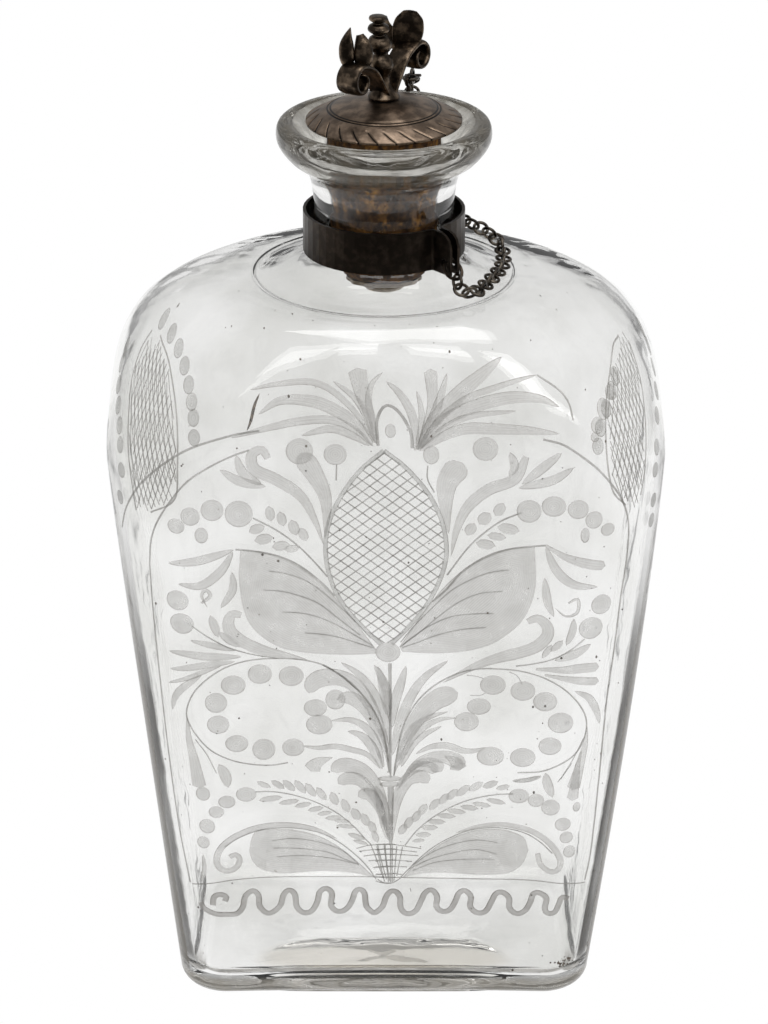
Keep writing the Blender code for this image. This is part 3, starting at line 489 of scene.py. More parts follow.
# All these tables give millimetres on the skin of the flask: round it from the middle of its front, and up it.
# A row of leaves or lines is one cut: its kind and greatest width, then the points along it, pair after pair.
CUT_LEAVES = (
    ("leaf", 2.4, -35.9, 127.9, -41.4, 125.9, -46.4, 124.5, -51.7, 123.7),
    ("leaf", 2.4, -36.1, 127.4, -39.1, 122.2, -43.8, 118.4, -49.4, 118.4),
    ("blunt", 2.6, 37.4, 129.1, 41.7, 126.2, 46.7, 124.2, 51.8, 122.9),
    ("leaf", 2.4, 37.4, 128.8, 39.8, 122.7, 43.9, 118.7, 49.9, 117.5),
    ("oval", 2.3, -27.5, 139.5, -27.2, 137.5, -27, 135.4),
    ("oval", 2.3, -25, 138, -24.5, 136, -24.1, 134),
    ("oval", 2.6, -22.3, 135.8, -21.7, 133.7, -21.1, 131.6),
    ("oval", 2.3, -20.2, 133.7, -19.5, 131.9, -18.8, 130.1),
    ("oval", 2.6, -32.2, 132.6, -30.4, 133.4, -28.5, 134.1),
    ("oval", 2.8, -31, 130.2, -28.8, 130.7, -26.6, 131.3),
    ("oval", 2.6, -26.9, 128.5, -24.8, 128.9, -22.7, 129.3),
    ("oval", 2, -24.1, 127.9, -22.2, 128.1, -20.4, 128.4),
    ("oval", 2.7, 25.5, 136.8, 26.5, 138.5, 27.5, 140.2),
    ("oval", 3.1, 21.7, 134.6, 23, 136.1, 24.3, 137.6),
    ("oval", 2.7, 18.9, 131.6, 19.7, 133.2, 20.6, 134.9),
    ("oval", 2.8, 26, 134, 28.6, 133.4, 31.2, 132.8),
    ("oval", 2.1, 23.6, 131.7, 25.8, 131.4, 28.1, 131),
    ("oval", 2.6, 20.9, 129.7, 23.2, 129.3, 25.6, 128.8),
    ("hook", 3, -27.4, 151.6, -28.7, 153.8, -31.1, 152.5, -30.5, 148.9, -25.5, 146.2, -20, 142.1, -16.8, 135.8,
     -14.8, 129.1),
    ("drop", 5, -20, 152.9, -16.8, 147.9, -14.1, 140.9, -14.4, 130.7),
    ("leaf", 2.4, -38.6, 148.8, -33.9, 145.8, -28, 144.4),
    ("leaf", 2.4, -34.8, 152.5, -33.2, 148, -28.9, 144.9),
    ("drop", 6, 17.8, 150.6, 14.4, 145.6, 13.9, 139.8, 14.6, 132.1),
    ("hook", 3, 32.7, 152.1, 30, 146.4, 24, 143.7, 19.1, 139.2, 16.5, 133.1, 15.1, 125.9),
    ("leaf", 2.4, 40.9, 153, 35.9, 148.7, 31.7, 145.1),
    ("leaf", 2.4, 43.7, 149.3, 38.7, 146.1, 30.9, 144.1),
    ("leaf", 2.1, 28.9, 153.2, 30, 149.5, 28.6, 147.2),
    ("hook", 1.0, -43.9, 113.6, -41.7, 115.6, -42.7, 117.2, -43.8, 115.6, -42.5, 112.4),
    ("leaf", 2, -36.5, 122, -36.4, 117.2, -39.3, 112.3),
    ("leaf", 2.1, 37.2, 120.4, 38, 113.9, 39.5, 109.9),
    ("hook", 0.9, 42.9, 113.6, 45.1, 114.7, 45.1, 111.1, 42.3, 110.1, 39.8, 112.3),
    ("edged", 3, -2.9, 154.8, -5.7, 159.3, -10.8, 163.3, -16.8, 165.8, -24.1, 165.8, -29.3, 162.5),
    ("edged", 2.1, -3.1, 154.8, -6.6, 158.5, -12.1, 161.2, -19.3, 161, -27.2, 159.2, -35.8, 156.7),
    ("leaf", 2.1, -3.7, 154.8, -7.9, 157.5, -12.7, 159.1, -19.4, 157.4),
    ("leaf", 1.6, -2.7, 155.5, -5.4, 161.1, -9, 165.6, -13.1, 169, -17.9, 170.4, -25.3, 169.4, -31.5, 167.7),
    ("leaf", 1.6, -2.6, 155.8, -4.2, 161.7, -7.1, 166.9, -11.9, 170.7),
    ("fan", 4.5, -2.3, 155.5, -3.6, 162.4, -5.3, 168.2, -6.4, 173.9),
    ("leaf", 1.7, -2.1, 155.2, -3, 161.7, -3.8, 165.9, -3, 170.1, -0.4, 172.9),
    ("leaf", 2.1, 6.8, 153.5, 7, 158.5, 5.8, 163.7, 3.1, 168.2, 0.3, 170.8),
    ("leaf", 1.5, 7.1, 153.8, 8.4, 160.4, 8.2, 165, 7.3, 168.5),
    ("fan", 3.2, 7.2, 153.8, 9.1, 159.1, 10.9, 165.6, 10.6, 173.6),
    ("leaf", 2.1, 7.4, 153.8, 9.7, 159.1, 12.2, 164.9, 14.4, 172.4),
    ("leaf", 3.7, 7.5, 153.8, 11.5, 161.4, 17.6, 168, 22.6, 171.8, 27.5, 175),
    ("leaf", 1.6, 7.5, 153.8, 12.1, 161.1, 18.8, 166.4, 26.2, 168.8, 32.6, 170, 36, 170.3),
    ("edged", 3.2, 7.5, 153.7, 12.7, 160.4, 20.6, 164.5, 28.6, 166.2, 36, 165.4, 40.8, 163.1),
    ("leaf", 1.6, 7.9, 153.7, 13.3, 159.1, 20, 162.2, 30.3, 163.2),
    ("edged", 2.9, 7.8, 153.5, 13.3, 157.1, 18.8, 159.1, 26.1, 158.9, 33.3, 158.5, 40.4, 157.4),
    ("hook", 3.2, -34.5, 110.3, -36.6, 110.6, -37.6, 108.6, -37.1, 105.8, -34.4, 103.1, -29.9, 100.8, -24.4, 99.3,
     -18.9, 97.9),
    ("leaf", 2.2, -34.7, 98.9, -42.2, 99, -47.4, 99.4, -52.4, 99.5),
    ("leaf", 1.9, -36.3, 97.6, -43.4, 96.6, -48.3, 95.4, -52.3, 94.5),
    ("leaf", 1.3, -39.5, 96.5, -43.5, 94.9, -48.4, 92.4, -52.9, 90.5),
    ("leaf", 1.7, -36.2, 100.6, -42.1, 102.2, -46.8, 103.3),
    ("leaf", 2.2, -40.1, 104.3, -41, 107.5, -41.9, 110.4),
    ("leaf", 1.9, -35, 101.6, -37.7, 103.6, -40.1, 105.9),
    ("drop", 4.9, -18.8, 88.7, -17.2, 92, -13.4, 93.2, -9, 91.9, -5.5, 88, -2.7, 82.2, -0.3, 74.7, 0.6, 67.6),
    ("drop", 3.7, -12, 86.9, -8.7, 87.3, -5.5, 84.5, -2.7, 79.4, -0.3, 72.4, 0.6, 66.2),
    ("leaf", 2, -13.5, 80.9, -9.1, 81.2, -5.5, 79.4, -2.7, 75.2, -0.7, 67.6),
    ("leaf", 2.4, -9.5, 78, -6.3, 76.8, -3.5, 73.3, -1.1, 67.2),
    ("leaf", 1.7, -20.5, 73.9, -16.7, 73.3, -12.7, 73.7, -8.7, 72.8, -4.7, 71.3, -1.5, 67.2),
    ("stem", 0.8, 0.7, 97, 0.7, 81.3, 0.9, 65.7),
    ("leaf", 2.3, -3.1, 96.5, -1.1, 92.4, 0.1, 87.8, 0.6, 82.2),
    ("leaf", 2.3, -11, 97.2, -6.7, 93.8, -3.5, 89.2, -0.7, 82.2, 0.5, 73.8),
    ("fan", 3.7, -48.2, 81.5, -47.8, 75.4, -46.7, 69.9, -45.4, 61.8),
    ("leaf", 1.9, -52.1, 83, -51.2, 86.8, -48.9, 90, -44.3, 93.9),
    ("leaf", 2.8, -40.7, 68.9, -39.2, 66, -38.4, 62.2),
    ("hook", 3.2, 33.3, 108.5, 35.7, 109.4, 37.9, 107.4, 38, 104.6, 35.6, 101.8, 31.8, 100.1, 27, 98.7, 22.2,
     96.8, 17.4, 94.2, 13.4, 91.6),
    ("blunt", 2.6, 35.5, 95.5, 41.6, 95.3, 46.4, 95.6, 50.9, 95.4),
    ("blunt", 2.2, 37.6, 93.9, 42, 93, 46.5, 92.1, 51, 91.3),
    ("leaf", 2.4, 39.9, 97.9, 44.7, 99.7, 48.6, 102.1),
    ("leaf", 1.9, 42.6, 102.1, 44, 105.8, 44.3, 109.4),
    ("leaf", 1.8, 39, 100.4, 40.6, 102.1, 41.8, 103.5),
    ("leaf", 1.6, 36.9, 98.5, 38.2, 100.6, 39.2, 102.3),
    ("leaf", 2, 44.9, 89.4, 48.5, 87.1, 50.7, 82.8, 51.6, 79.1),
    ("drop", 5.6, 17, 88.8, 12.6, 87.3, 9, 84, 5.3, 77.8, 2.5, 69.2, 1.7, 65.3),
    ("leaf", 1.7, 14.6, 83.5, 10.2, 82, 6.5, 79.2, 4.1, 74.9, 2.5, 69.2),
    ("leaf", 1.7, 16.7, 81.8, 12.6, 81.3, 8.6, 78.8, 5.4, 74.5, 3, 68.2),
    ("leaf", 1.7, 13.1, 79.4, 9.4, 77.3, 6.2, 74, 3.4, 67.7),
    ("leaf", 1.9, 7, 71.6, 10.7, 73.6, 14.7, 73.9, 18, 72.6, 21.3, 72.5, 23.9, 73.5),
    ("drop", 4.2, 17.7, 67.1, 16.8, 69.5, 13.5, 70.8, 9.5, 70.2, 6.2, 67.7, 3.4, 62.9),
    ("drop", 3.6, 13.4, 66.6, 10.7, 69, 7, 68.5, 3.8, 64.8),
    ("stem", 0.8, 0.6, 96.7, 0.8, 80.7, 0.9, 64.8),
    ("leaf", 2.5, 14.5, 97.7, 9.3, 93.4, 5.7, 87.8, 2.9, 79.7, 1.3, 71.1),
    ("leaf", 2.5, 4.5, 96.2, 3.3, 91.5, 1.7, 85.4, 1.1, 78.8),
    ("leaf", 2.4, -2.2, 96, -0.8, 89.7, 0.4, 81.6),
    ("fan", 3.4, 48.2, 79, 47.9, 73.8, 46.6, 67.7, 45.2, 61.3),
    ("leaf", 1.3, 30.4, 64.1, 34.1, 64.3, 37.5, 65.3),
    ("drop", 4.2, -18.4, 66.6, -16.9, 69, -13.1, 70.6),
    ("drop", 4.2, -13.5, 66.6, -10.4, 68.4, -6, 67, -2.6, 62.6, -0.7, 57.3, 0.3, 51.2, 0.6, 47.1),
    ("drop", 3.7, -11.8, 63, -9.4, 64.6, -6, 63.6, -2.9, 59.1, -0.8, 53.5, 0.3, 47.8),
    ("drop", 3.5, -7, 59.3, -4.5, 60.1, -2.2, 57.1, -0.5, 52, 0.4, 47.1),
    ("stem", 1.5, 1, 62.2, 1.1, 53.7, 1.1, 46.1),
    ("oval", 1.5, -31.5, 63.8, -29.8, 62.9, -28.1, 62.1),
    ("oval", 1.7, -28, 64.1, -26.4, 62.9, -24.8, 61.7),
    ("oval", 1.9, -25.2, 64.2, -23.7, 62.6, -22.2, 61),
    ("oval", 1.9, -22.3, 64.2, -21, 62.2, -19.6, 60.3),
    ("oval", 2, -19.7, 63.3, -18.5, 61.3, -17.3, 59.3),
    ("oval", 1.9, -17, 62.1, -15.9, 60.2, -14.7, 58.3),
    ("oval", 2.1, -13.5, 60.7, -12.8, 58.8, -12, 56.9),
    ("oval", 2.1, -10.8, 58.7, -10, 56.7, -9.2, 54.7),
    ("oval", 2.3, -8.4, 56, -7.5, 54.3, -6.6, 52.5),
    ("oval", 2.1, -5.9, 54.5, -5.2, 52.7, -4.5, 50.8),
    ("oval", 1.9, -3.9, 52.3, -3.4, 50.4, -2.8, 48.6),
    ("oval", 1.7, -3.2, 49.5, -2.7, 47.8, -2.1, 46),
    ("oval", 1.7, -31, 58.4, -28.1, 58.9, -25.3, 59.3),
    ("oval", 1.5, -26.2, 57.5, -23.7, 57.9, -21.2, 58.3),
    ("oval", 1.5, -22.4, 56.5, -20.3, 57, -18.2, 57.5),
    ("oval", 1.5, -19.2, 55.4, -17.2, 55.8, -15.3, 56.2),
    ("oval", 1.3, -16.9, 54.3, -15, 54.6, -13.2, 54.9),
    ("oval", 1.5, -15, 53.1, -13, 53.2, -10.9, 53.3),
    ("oval", 1.3, -12.7, 52.4, -10.7, 52.3, -8.8, 52.1),
    ("oval", 1.2, -12.3, 51, -9.9, 50.8, -7.5, 50.5),
    ("oval", 1.5, -9.4, 48.6, -7.3, 47.8, -5.2, 46.9),
    ("oval", 1.1, -8.1, 46.7, -6.3, 46.1, -4.4, 45.5),
    ("leaf", 1.2, -45.3, 34.4, -44.6, 38.2, -44.8, 42.7),
    ("curl", 1.7, -38.3, 42.1, -36.8, 42.8, -35.8, 41.2, -37, 38.7, -39.4, 38.1, -41.2, 39.7, -41.3, 42.6, -39.7,
     45.6, -36.6, 48.2, -32.3, 50.3, -27.5, 51.3, -22.4, 51.2, -17.2, 50, -12.1, 47.2),
    ("drop", 4.1, 17.5, 66.8, 16.6, 69.4, 13.9, 71),
    ("drop", 3.2, 12.5, 66.7, 9.4, 68, 6.6, 67.1, 4.2, 64.3, 2.5, 61),
    ("drop", 3.9, 10.1, 63.2, 8.4, 65.1, 5.2, 64.3, 3.2, 60.5, 2.1, 55.4, 1.5, 46.6),
    ("stem", 1.5, 0.9, 62, 1, 53.3, 1.1, 45.6),
    ("leaf", 3.1, -2.7, 62.4, -1, 56.6, 0.6, 46.6),
    ("oval", 1.5, 26.5, 61.7, 28.2, 62.1, 29.9, 62.6),
    ("oval", 1.9, 23.2, 62.1, 25.1, 62.9, 27, 63.8),
    ("oval", 2, 19.9, 61, 21.6, 62.3, 23.4, 63.6),
    ("oval", 2, 16.9, 59.5, 18.5, 61.1, 20.1, 62.7),
    ("oval", 1.9, 14.6, 58.4, 15.9, 60, 17.2, 61.6),
    ("oval", 1.9, 12.8, 57.1, 13.9, 58.7, 15, 60.3),
    ("oval", 1.9, 10.5, 55.4, 11.6, 57.1, 12.7, 58.8),
    ("oval", 2, 7.8, 53.9, 8.8, 55.6, 9.8, 57.3),
    ("oval", 2, 6.4, 51.9, 7.3, 53.6, 8.2, 55.4),
    ("oval", 2, 4.6, 50, 5.4, 51.8, 6.3, 53.6),
    ("oval", 2, 3.2, 48.3, 4, 49.9, 4.8, 51.5),
    ("oval", 1.5, 24.2, 58.6, 26.6, 58.1, 28.9, 57.5),
    ("oval", 1.5, 20.8, 57.6, 23.1, 57.1, 25.4, 56.7),
    ("oval", 1.6, 17.9, 56.6, 20.2, 56.2, 22.4, 55.9),
    ("oval", 1.6, 14.7, 55.4, 17, 55.1, 19.3, 54.8),
    ("oval", 1.5, 12.3, 53.9, 14.6, 53.8, 16.9, 53.6),
    ("oval", 1.6, 9.9, 52.2, 12.2, 52.1, 14.5, 52),
    ("oval", 1.6, 8.4, 50.4, 10.5, 50.4, 12.6, 50.4),
    ("oval", 1.5, 7.1, 48.2, 9.1, 48.3, 11, 48.4),
    ("oval", 1.1, 6.3, 46.4, 7.9, 46.6, 9.5, 46.8),
    ("leaf", 1.2, 30.5, 63.8, 33.7, 64.2, 37.4, 65.6),
    ("leaf", 2.5, 38.4, 66.4, 39, 63.1, 40.3, 59.4),
    ("fan", 3, 46.9, 72.2, 46.1, 67.3, 45.6, 62.5, 45.1, 58.2),
    ("curl", 1.6, 37.1, 43.2, 37.8, 40.1, 40, 37.9, 42.1, 38.2, 42.8, 40.6, 41.7, 43.6, 39.4, 46.7, 35.8, 49.4,
     31.6, 50.9, 27.1, 51.5, 21.8, 50.7, 17, 48.9),
)
CUT_LINES = (
    (1.14, -0.4, 153.6, -5.9, 148.6, -10.2, 142.5, -13.1, 136.2, -14.3, 129.9, -14, 123.5, -12.3, 117, -9.2,
     111.3, -5.3, 106.4, -1.4, 102.1),
    (1.14, -0.4, 153.6, 4.5, 149.4, 9.4, 143.3, 12.5, 137, 13.9, 130.7, 13.9, 125.1, 12.1, 118.6, 8.9, 112.1, 5,
     106.8, 1.1, 102.3),
    (0.5, -35.5, 128, -31.5, 127.6, -25.9, 126.3, -21, 123.9, -16.2, 119.8, -12.3, 115.4),
    (0.5, 37.4, 129.1, 33.2, 128.7, 28.3, 127.9, 22.7, 125.5, 17.8, 121.9, 13.9, 117, 10.7, 113.8),
    (0.28, -27.8, 122.2, -23.9, 121.5, -19.7, 119.9, -16.2, 117.4, -12, 113.3, -7.8, 108.8, -3.9, 103.9),
    (0.28, -29.1, 117.1, -24.7, 116.7, -20.5, 115.4, -16.2, 113.4, -12, 109.7, -6.4, 104.7),
    (0.28, -24.8, 111.1, -20.5, 110.8, -16.3, 109.7, -12.1, 107.6, -7.8, 104.8, -3.5, 101.9),
    (0.28, -19.5, 105.4, -14.9, 104.9, -10.7, 103.9, -6.4, 102.3, -3.2, 101.2),
    (0.28, 28.7, 122.5, 24.1, 121.7, 19.2, 119.5, 14.9, 116.6, 11.4, 112.9, 6.4, 107.2, 3.2, 102.7),
    (0.28, 27.3, 116.7, 22, 116.1, 17.1, 113.8, 12.1, 109.7, 7.9, 105.6, 3.6, 101.9),
    (0.28, 25.3, 110.7, 19.9, 110.5, 15, 109.7, 10, 107.2, 5.7, 103.9, 3.2, 101.5),
    (0.28, 23.5, 106.9, 17.8, 106.3, 12.1, 104.8, 7.2, 102.7, 3.6, 101.3),
    (0.43, -31.2, 136.3, -25.8, 133.1, -21, 129.1, -16.8, 124.3, -14, 120.6),
    (0.43, 31.6, 137.7, 26.9, 135.5, 22, 131.5, 18.5, 127.5, 14.2, 121),
    (0.36, -11.4, 150.2, -11.6, 146),
    (0.36, 9.8, 149.8, 9.7, 146.3, 11.3, 142.9),
    (0.75, -1.7, 154.8, -1.9, 161.1, 0.1, 164.9, 3.1, 163.4, 5.8, 158.5, 6.2, 154.2),
    (0.43, 35.9, 170.3, 40.9, 166.7, 43.2, 163.7, 44, 159.9),
    (0.47, -56.9, 122.5, -56.2, 128.6, -54.2, 134.2, -50.1, 141, -46, 146, -40.5, 149.8, -35.5, 152.3, -31.7,
     153.7),
    (0.52, -67.1, 128.7, -63.8, 135.8, -57.1, 144.8, -47.2, 152.7, -36.2, 157.1, -29.2, 158.5),
    (0.52, 36.6, 156.3, 41.3, 154.8, 46, 151.5, 50.2, 147.7, 54.4, 142.2, 57, 136.9, 58.1, 130.9, 57.6, 122.3,
     56.3, 112.9, 54.9, 98.5, 53.4, 85.4, 52.2, 62.6, 51, 42.3, 49.6, 33.8),
    (0.47, -56.9, 122.5, -56.7, 112.4, -55.8, 95.9, -54.1, 73.6, -51.6, 51, -48.5, 33.5),
    (0.39, -6.7, 89.2, -11.4, 93.8, -15.4, 96.6, -20.5, 98, -26, 98.4, -32.3, 98, -37.9, 96.3, -42.7, 93.1, -46.4,
     88.7, -48.2, 83.8, -47.9, 80.6, -45.8, 76.7, -42.3, 72.7, -37.5, 70, -32.7, 68.8, -27.9, 68.5, -23.9, 69.2),
    (0.35, -46.3, 107.3, -42.4, 104.3, -37.8, 101.5, -32.3, 99.6, -26.4, 98.5),
    (0.47, -15.4, 96.6, -10.6, 93.3, -6.7, 89.2, -3.1, 83.6, -0.7, 76.6, 0.6, 66.2),
    (0.28, -46.2, 75.7, -43.5, 71.7, -41.2, 66.3),
    (0.4, 1.7, 65.3, 3.3, 76.9, 6.1, 84.5, 10.5, 90.1, 16.2, 93.9, 21.4, 95.4, 26.2, 95.5, 31.9, 94.9, 37.2, 93.2,
     42.1, 90.2, 45.8, 86, 47.9, 81.4, 47.8, 76.7, 45.8, 72.1, 42.1, 69, 37.3, 66.8, 31.6, 66.4),
    (0.36, 47, 103.7, 43.5, 100.7, 39.5, 98.3, 35.1, 97, 30.7, 96.3),
    (0.28, 47.4, 75.8, 45, 70.3, 42.1, 64.7),
    (0.2, 23, 92.8, 21.4, 93.4, 19, 93.7),
    (0.2, 19.9, 88.1, 22.3, 88.1, 23.5, 88.8),
    (0.2, 32.3, 91.2, 31.1, 93.6, 29.1, 94.7),
    (0.33, -31.9, 60.9, -27.4, 60.9, -22.3, 59.8, -17.2, 57.8, -12.1, 54.7, -8, 50.8, -5.2, 47.2, -3.7, 45.5),
    (0.33, -39.5, 45, -36.1, 47.6, -30.9, 49.8, -24.1, 50.5, -17.2, 49.3, -12.1, 46.6, -7.6, 42.6, -4.5, 38.9,
     -2.3, 35.2),
    (0.23, -27.9, 46.7, -24.1, 47.3, -19.6, 47, -14.5, 45.6, -10.4, 43.5, -6.6, 39.6),
    (0.23, -27.5, 44.6, -22.4, 44.5, -17.2, 43.9, -13.8, 43.1, -9.7, 41, -6.6, 39.6),
    (0.23, -26.8, 42, -22.4, 42.3, -17.2, 42.1, -12.1, 41.2, -6.6, 39.6),
    (0.33, -7.3, 44.3, -3.8, 45.3, 2.3, 45.5),
    (0.33, -6.6, 43.5, -2.8, 44, 2.3, 44.2),
    (0.33, -5.5, 42.1, -1.8, 42.6, 2.3, 42.6),
    (0.33, -4.3, 40.7, -1.7, 40.9, 2.3, 40.9),
    (0.33, -3.1, 38.7, -0.7, 38.9, 2.3, 39.1),
    (0.33, -2.4, 36.8, 0, 36.8, 2.4, 37),
    (0.33, -2, 35.3, -0.7, 34.3, 1.4, 34.1),
    (0.33, -3.8, 45.5, -2.4, 41.4, -0.6, 35.6),
    (0.33, -2.1, 45.4, -1.1, 40.6, 0.2, 35.2),
    (0.33, -0.3, 45.5, 0.1, 40.6, 1, 34.8),
    (0.33, 1.5, 45.5, 1.5, 40.6, 1.6, 34.4),
    (0.33, -47.9, 33.2, -39.6, 35, -34.4, 35.7, -27.5, 36.1, -17.2, 36.1, -3.4, 36, 2.4, 35.8),
    (0.34, 30.7, 60.3, 26.9, 60.1, 22.4, 59.2, 18.2, 57.7, 14.1, 55.4, 10.3, 52.5, 7.1, 49.1, 4.6, 45.2),
    (0.24, 44.7, 69.1, 43.1, 66.4, 41.4, 63.8),
    (0.34, 40.7, 43.2, 37.7, 46.4, 34.1, 48.9, 29.9, 50.2, 25.3, 50.5, 20.1, 49.6, 15.6, 47.5, 11.4, 44.6, 8,
     41.2, 5.2, 37.8, 3.7, 35.9),
    (0.24, 6.6, 39.5, 11.4, 43.3, 16.3, 45.6, 21.9, 46.9, 27.2, 46.2),
    (0.24, 5.5, 38.2, 10.8, 41.2, 16.4, 43.1, 22, 44.1, 27.2, 42.8),
    (0.24, 6.6, 37.8, 11.5, 40.1, 16.4, 41, 22, 41.3, 26.6, 41.3),
    (0.31, -2.6, 45.4, 0.9, 45.6, 4.4, 45, 8.6, 44.3),
    (0.31, -2.6, 43.9, 0.9, 44.1, 7.6, 43.3),
    (0.31, -2.6, 42.4, 1.3, 42.6, 7.9, 42.2),
    (0.31, -2.6, 40.5, 1.3, 40.9, 6.4, 40.5),
    (0.31, -2.6, 38.9, 0.9, 39.1, 5.2, 38.9),
    (0.31, -2.6, 36.5, 1, 36.9, 4.1, 36.7),
    (0.31, -2.5, 34.8, -0.8, 34.2, 1.7, 34.2, 3.6, 35.6),
    (0.31, 4, 44.7, 3.4, 40.8, 2.7, 36.3),
    (0.31, 2.6, 45, 2.3, 39.9, 2, 34.8),
    (0.31, -2.3, 45, -1.4, 39.9, -0.3, 34.6),
    (0.31, -0.5, 45.2, 0.1, 39.9, 0.7, 34.4),
    (0.31, 1.1, 45.4, 1.1, 39.9, 1.2, 34.4),
    (0.34, -2.5, 35.9, 8, 35.7, 22.1, 35.5, 36.2, 35.2, 49.8, 33.1),
)
# a bead: its middle, half its width and half its height
CUT_BEADS = (
    (1.2, 158.6, 1.3, 1.8), (0.2, 100, 3, 2.7), (-34.5, 137.4, 3.3, 3.5), (-40.7, 138.4, 2.7, 2.8),
    (-45.9, 136.7, 2.3, 2.4), (-49.4, 133.9, 2.1, 2), (-43.4, 131.8, 1.6, 2.1), (33.4, 138.1, 2.9, 3),
    (39.2, 139.4, 2.9, 2.7), (44.9, 138.6, 2.5, 2.5), (48.7, 135.6, 2.1, 2.3), (52.2, 132.6, 1.8, 1.7),
    (46.6, 131.7, 1.1, 2), (-20, 153.4, 3.2, 3.3), (-11.7, 152.6, 2.7, 2.7), (23.2, 154, 3, 3),
    (10.6, 152.5, 1.9, 2.4), (-49.7, 113.9, 2.8, 2.7), (-48.8, 107.7, 3, 2.8), (51, 112.6, 2.6, 2.7),
    (48.5, 106.5, 3, 3), (55, 163.9, 1.5, 1.6), (52.2, 161, 1.7, 2.3), (50.1, 158, 1.7, 1.8),
    (49.2, 155.7, 1.1, 1.1), (-30.4, 94.1, 2.9, 2.7), (-36.8, 91.1, 3, 2.7), (-22.9, 93.5, 3, 2.8),
    (-41, 86.2, 2.7, 2.8), (-40.6, 80.1, 2.7, 2.6), (-36.2, 74.7, 2.8, 2.4), (-29.7, 73, 2.8, 3),
    (-22.6, 73.5, 2.7, 2.5), (-17.2, 84.6, 2.8, 2.4), (-12.4, 86.9, 2.4, 2.8), (-16.3, 79.9, 3.2, 2.8),
    (25.3, 91, 3.1, 2.7), (22, 85, 2.9, 2.3), (19.1, 80.7, 3, 2.7), (32.5, 89.4, 3, 2.7), (37.9, 86.5, 2.9, 2.7),
    (41.7, 80.6, 3.1, 2.9), (39.3, 74, 2.8, 2.5), (25, 71, 3.3, 2.7), (32.8, 70.7, 3.1, 2.7),
    (-34.1, 60.2, 2.5, 2.1), (-38.8, 58.1, 2.1, 1.8), (-41.4, 55.2, 1.9, 1.7), (-43.7, 51, 2, 2.1),
    (-44.7, 46.2, 1.6, 1.8), (-44.6, 60.3, 1.8, 2), (0.7, 64.5, 2.9, 0.8), (0.7, 62.9, 2.5, 0.8),
    (32.1, 59.7, 2.5, 2.1), (36.3, 58.5, 2, 1.9), (39.9, 56.5, 2.3, 2.3), (43, 51.6, 2, 1.9),
    (44, 47.7, 1.7, 1.7), (44.9, 43.5, 1.6, 1.8), (46.3, 56.3, 1, 1.4),
)
# a petal: the points along its upper edge, and those along its lower one
CUT_PETALS = (
    ((-2.5, 100.6, -7.8, 108.8, -12, 114.6, -16.2, 119.4, -20.4, 123.1, -25.2, 125.9, -30.1, 127.4, -34.4,
      127.8),
     (-2.5, 99.6, -7.8, 99.3, -13.5, 99.4, -20.7, 100.1, -25.7, 101.5, -29.9, 104.5, -32.7, 108.2, -34.1,
      112.3, -34.7, 117.1, -34.9, 121.2, -34.6, 125.2, -34.4, 127.8)),
    ((2.9, 101.5, 7.9, 109.7, 11.4, 115, 14.9, 119.4, 19.2, 123.5, 24.1, 126.7, 29, 128.2, 34.8, 128.7),
     (3.6, 100.1, 11.4, 99.7, 18.6, 100.3, 24.3, 102, 28.5, 104.9, 31.7, 108.2, 33.8, 112.3, 35, 117.1, 35.2,
      121.2, 35, 125.2, 34.8, 128.7)),
    ((-2.7, 35.8, -6.9, 40.4, -11.4, 44.7, -16.5, 48, -22, 49.7, -27.5, 50.2, -31.3, 49.8, -32.8, 47.8, -33.5,
      44.1),
     (-2.7, 35.7, -7.6, 37.1, -13.1, 37.7, -18.6, 37.6, -24.1, 37.1, -28.2, 37.5, -31.3, 38.9, -33, 41.4,
      -33.5, 44.1)),
    ((4.2, 35.9, 8, 40.8, 12.5, 45, 17, 47.9, 21.8, 49.7, 27.1, 50.1, 30.9, 49.3, 33.8, 47.5, 34.8, 44),
     (4.2, 35.8, 8, 36.8, 12.2, 37.2, 17.2, 37, 22.1, 36.7, 27.4, 36.8, 30.9, 37.6, 33.6, 40.2, 34.8, 44)),
)
WAVE = (
    -45.7, 28.3, -44.6, 26.5, -41.8, 25.3, -39, 25.2, -36.6, 25.4, -35.1, 27.4, -34.5, 30.5, -32.7, 32.1, -31.3,
    30.7, -31, 27.5, -29.3, 25.5, -27.6, 25.8, -25.8, 27.9, -25.1, 30.8, -23.7, 32.2, -22.3, 30.8, -21.9, 27.4,
    -20.3, 25.5, -18.2, 25.9, -16.8, 28.6, -16.2, 31.5, -14.6, 32.6, -13.2, 31.1, -13.4, 27.4, -11.6, 25.7, -9.6,
    26.5, -8.2, 29, -7.5, 31.5, -6.4, 32.3, -5.2, 31.1, -4.7, 27.3, -3, 25.4, -2.4, 25.4, -0.7, 27.2, 0.2, 30.2,
    1.4, 31.7, 2.8, 31.4, 3.6, 29.7, 3.6, 28, 4.1, 26.1, 5.5, 25, 7.5, 25.9, 8.8, 28.9, 9.7, 31.2, 11.3, 32.1,
    12.7, 30.2, 12.6, 27.2, 14.2, 25.7, 16, 26.4, 17.3, 29, 18, 31.1, 19.4, 32, 21, 30.3, 20.9, 27.3, 22.7, 25.4,
    24.8, 26, 26.2, 29, 27.2, 31.2, 28.7, 31.6, 30.4, 30, 30.6, 27, 32.4, 25.3, 34.4, 26.2, 35.7, 28.8, 36.3,
    31.1, 37.7, 31.6, 39.6, 30.1, 39.3, 27.1, 40, 25.6, 41.8, 25.8, 42.8, 28.3, 43.5, 30.1, 45.2, 29.4,
)
WAVE_CURL = (-42.5, 27.8, -42.2, 30.3, -40.7, 31.1, -39.2, 30.4, -39.6, 29.1)
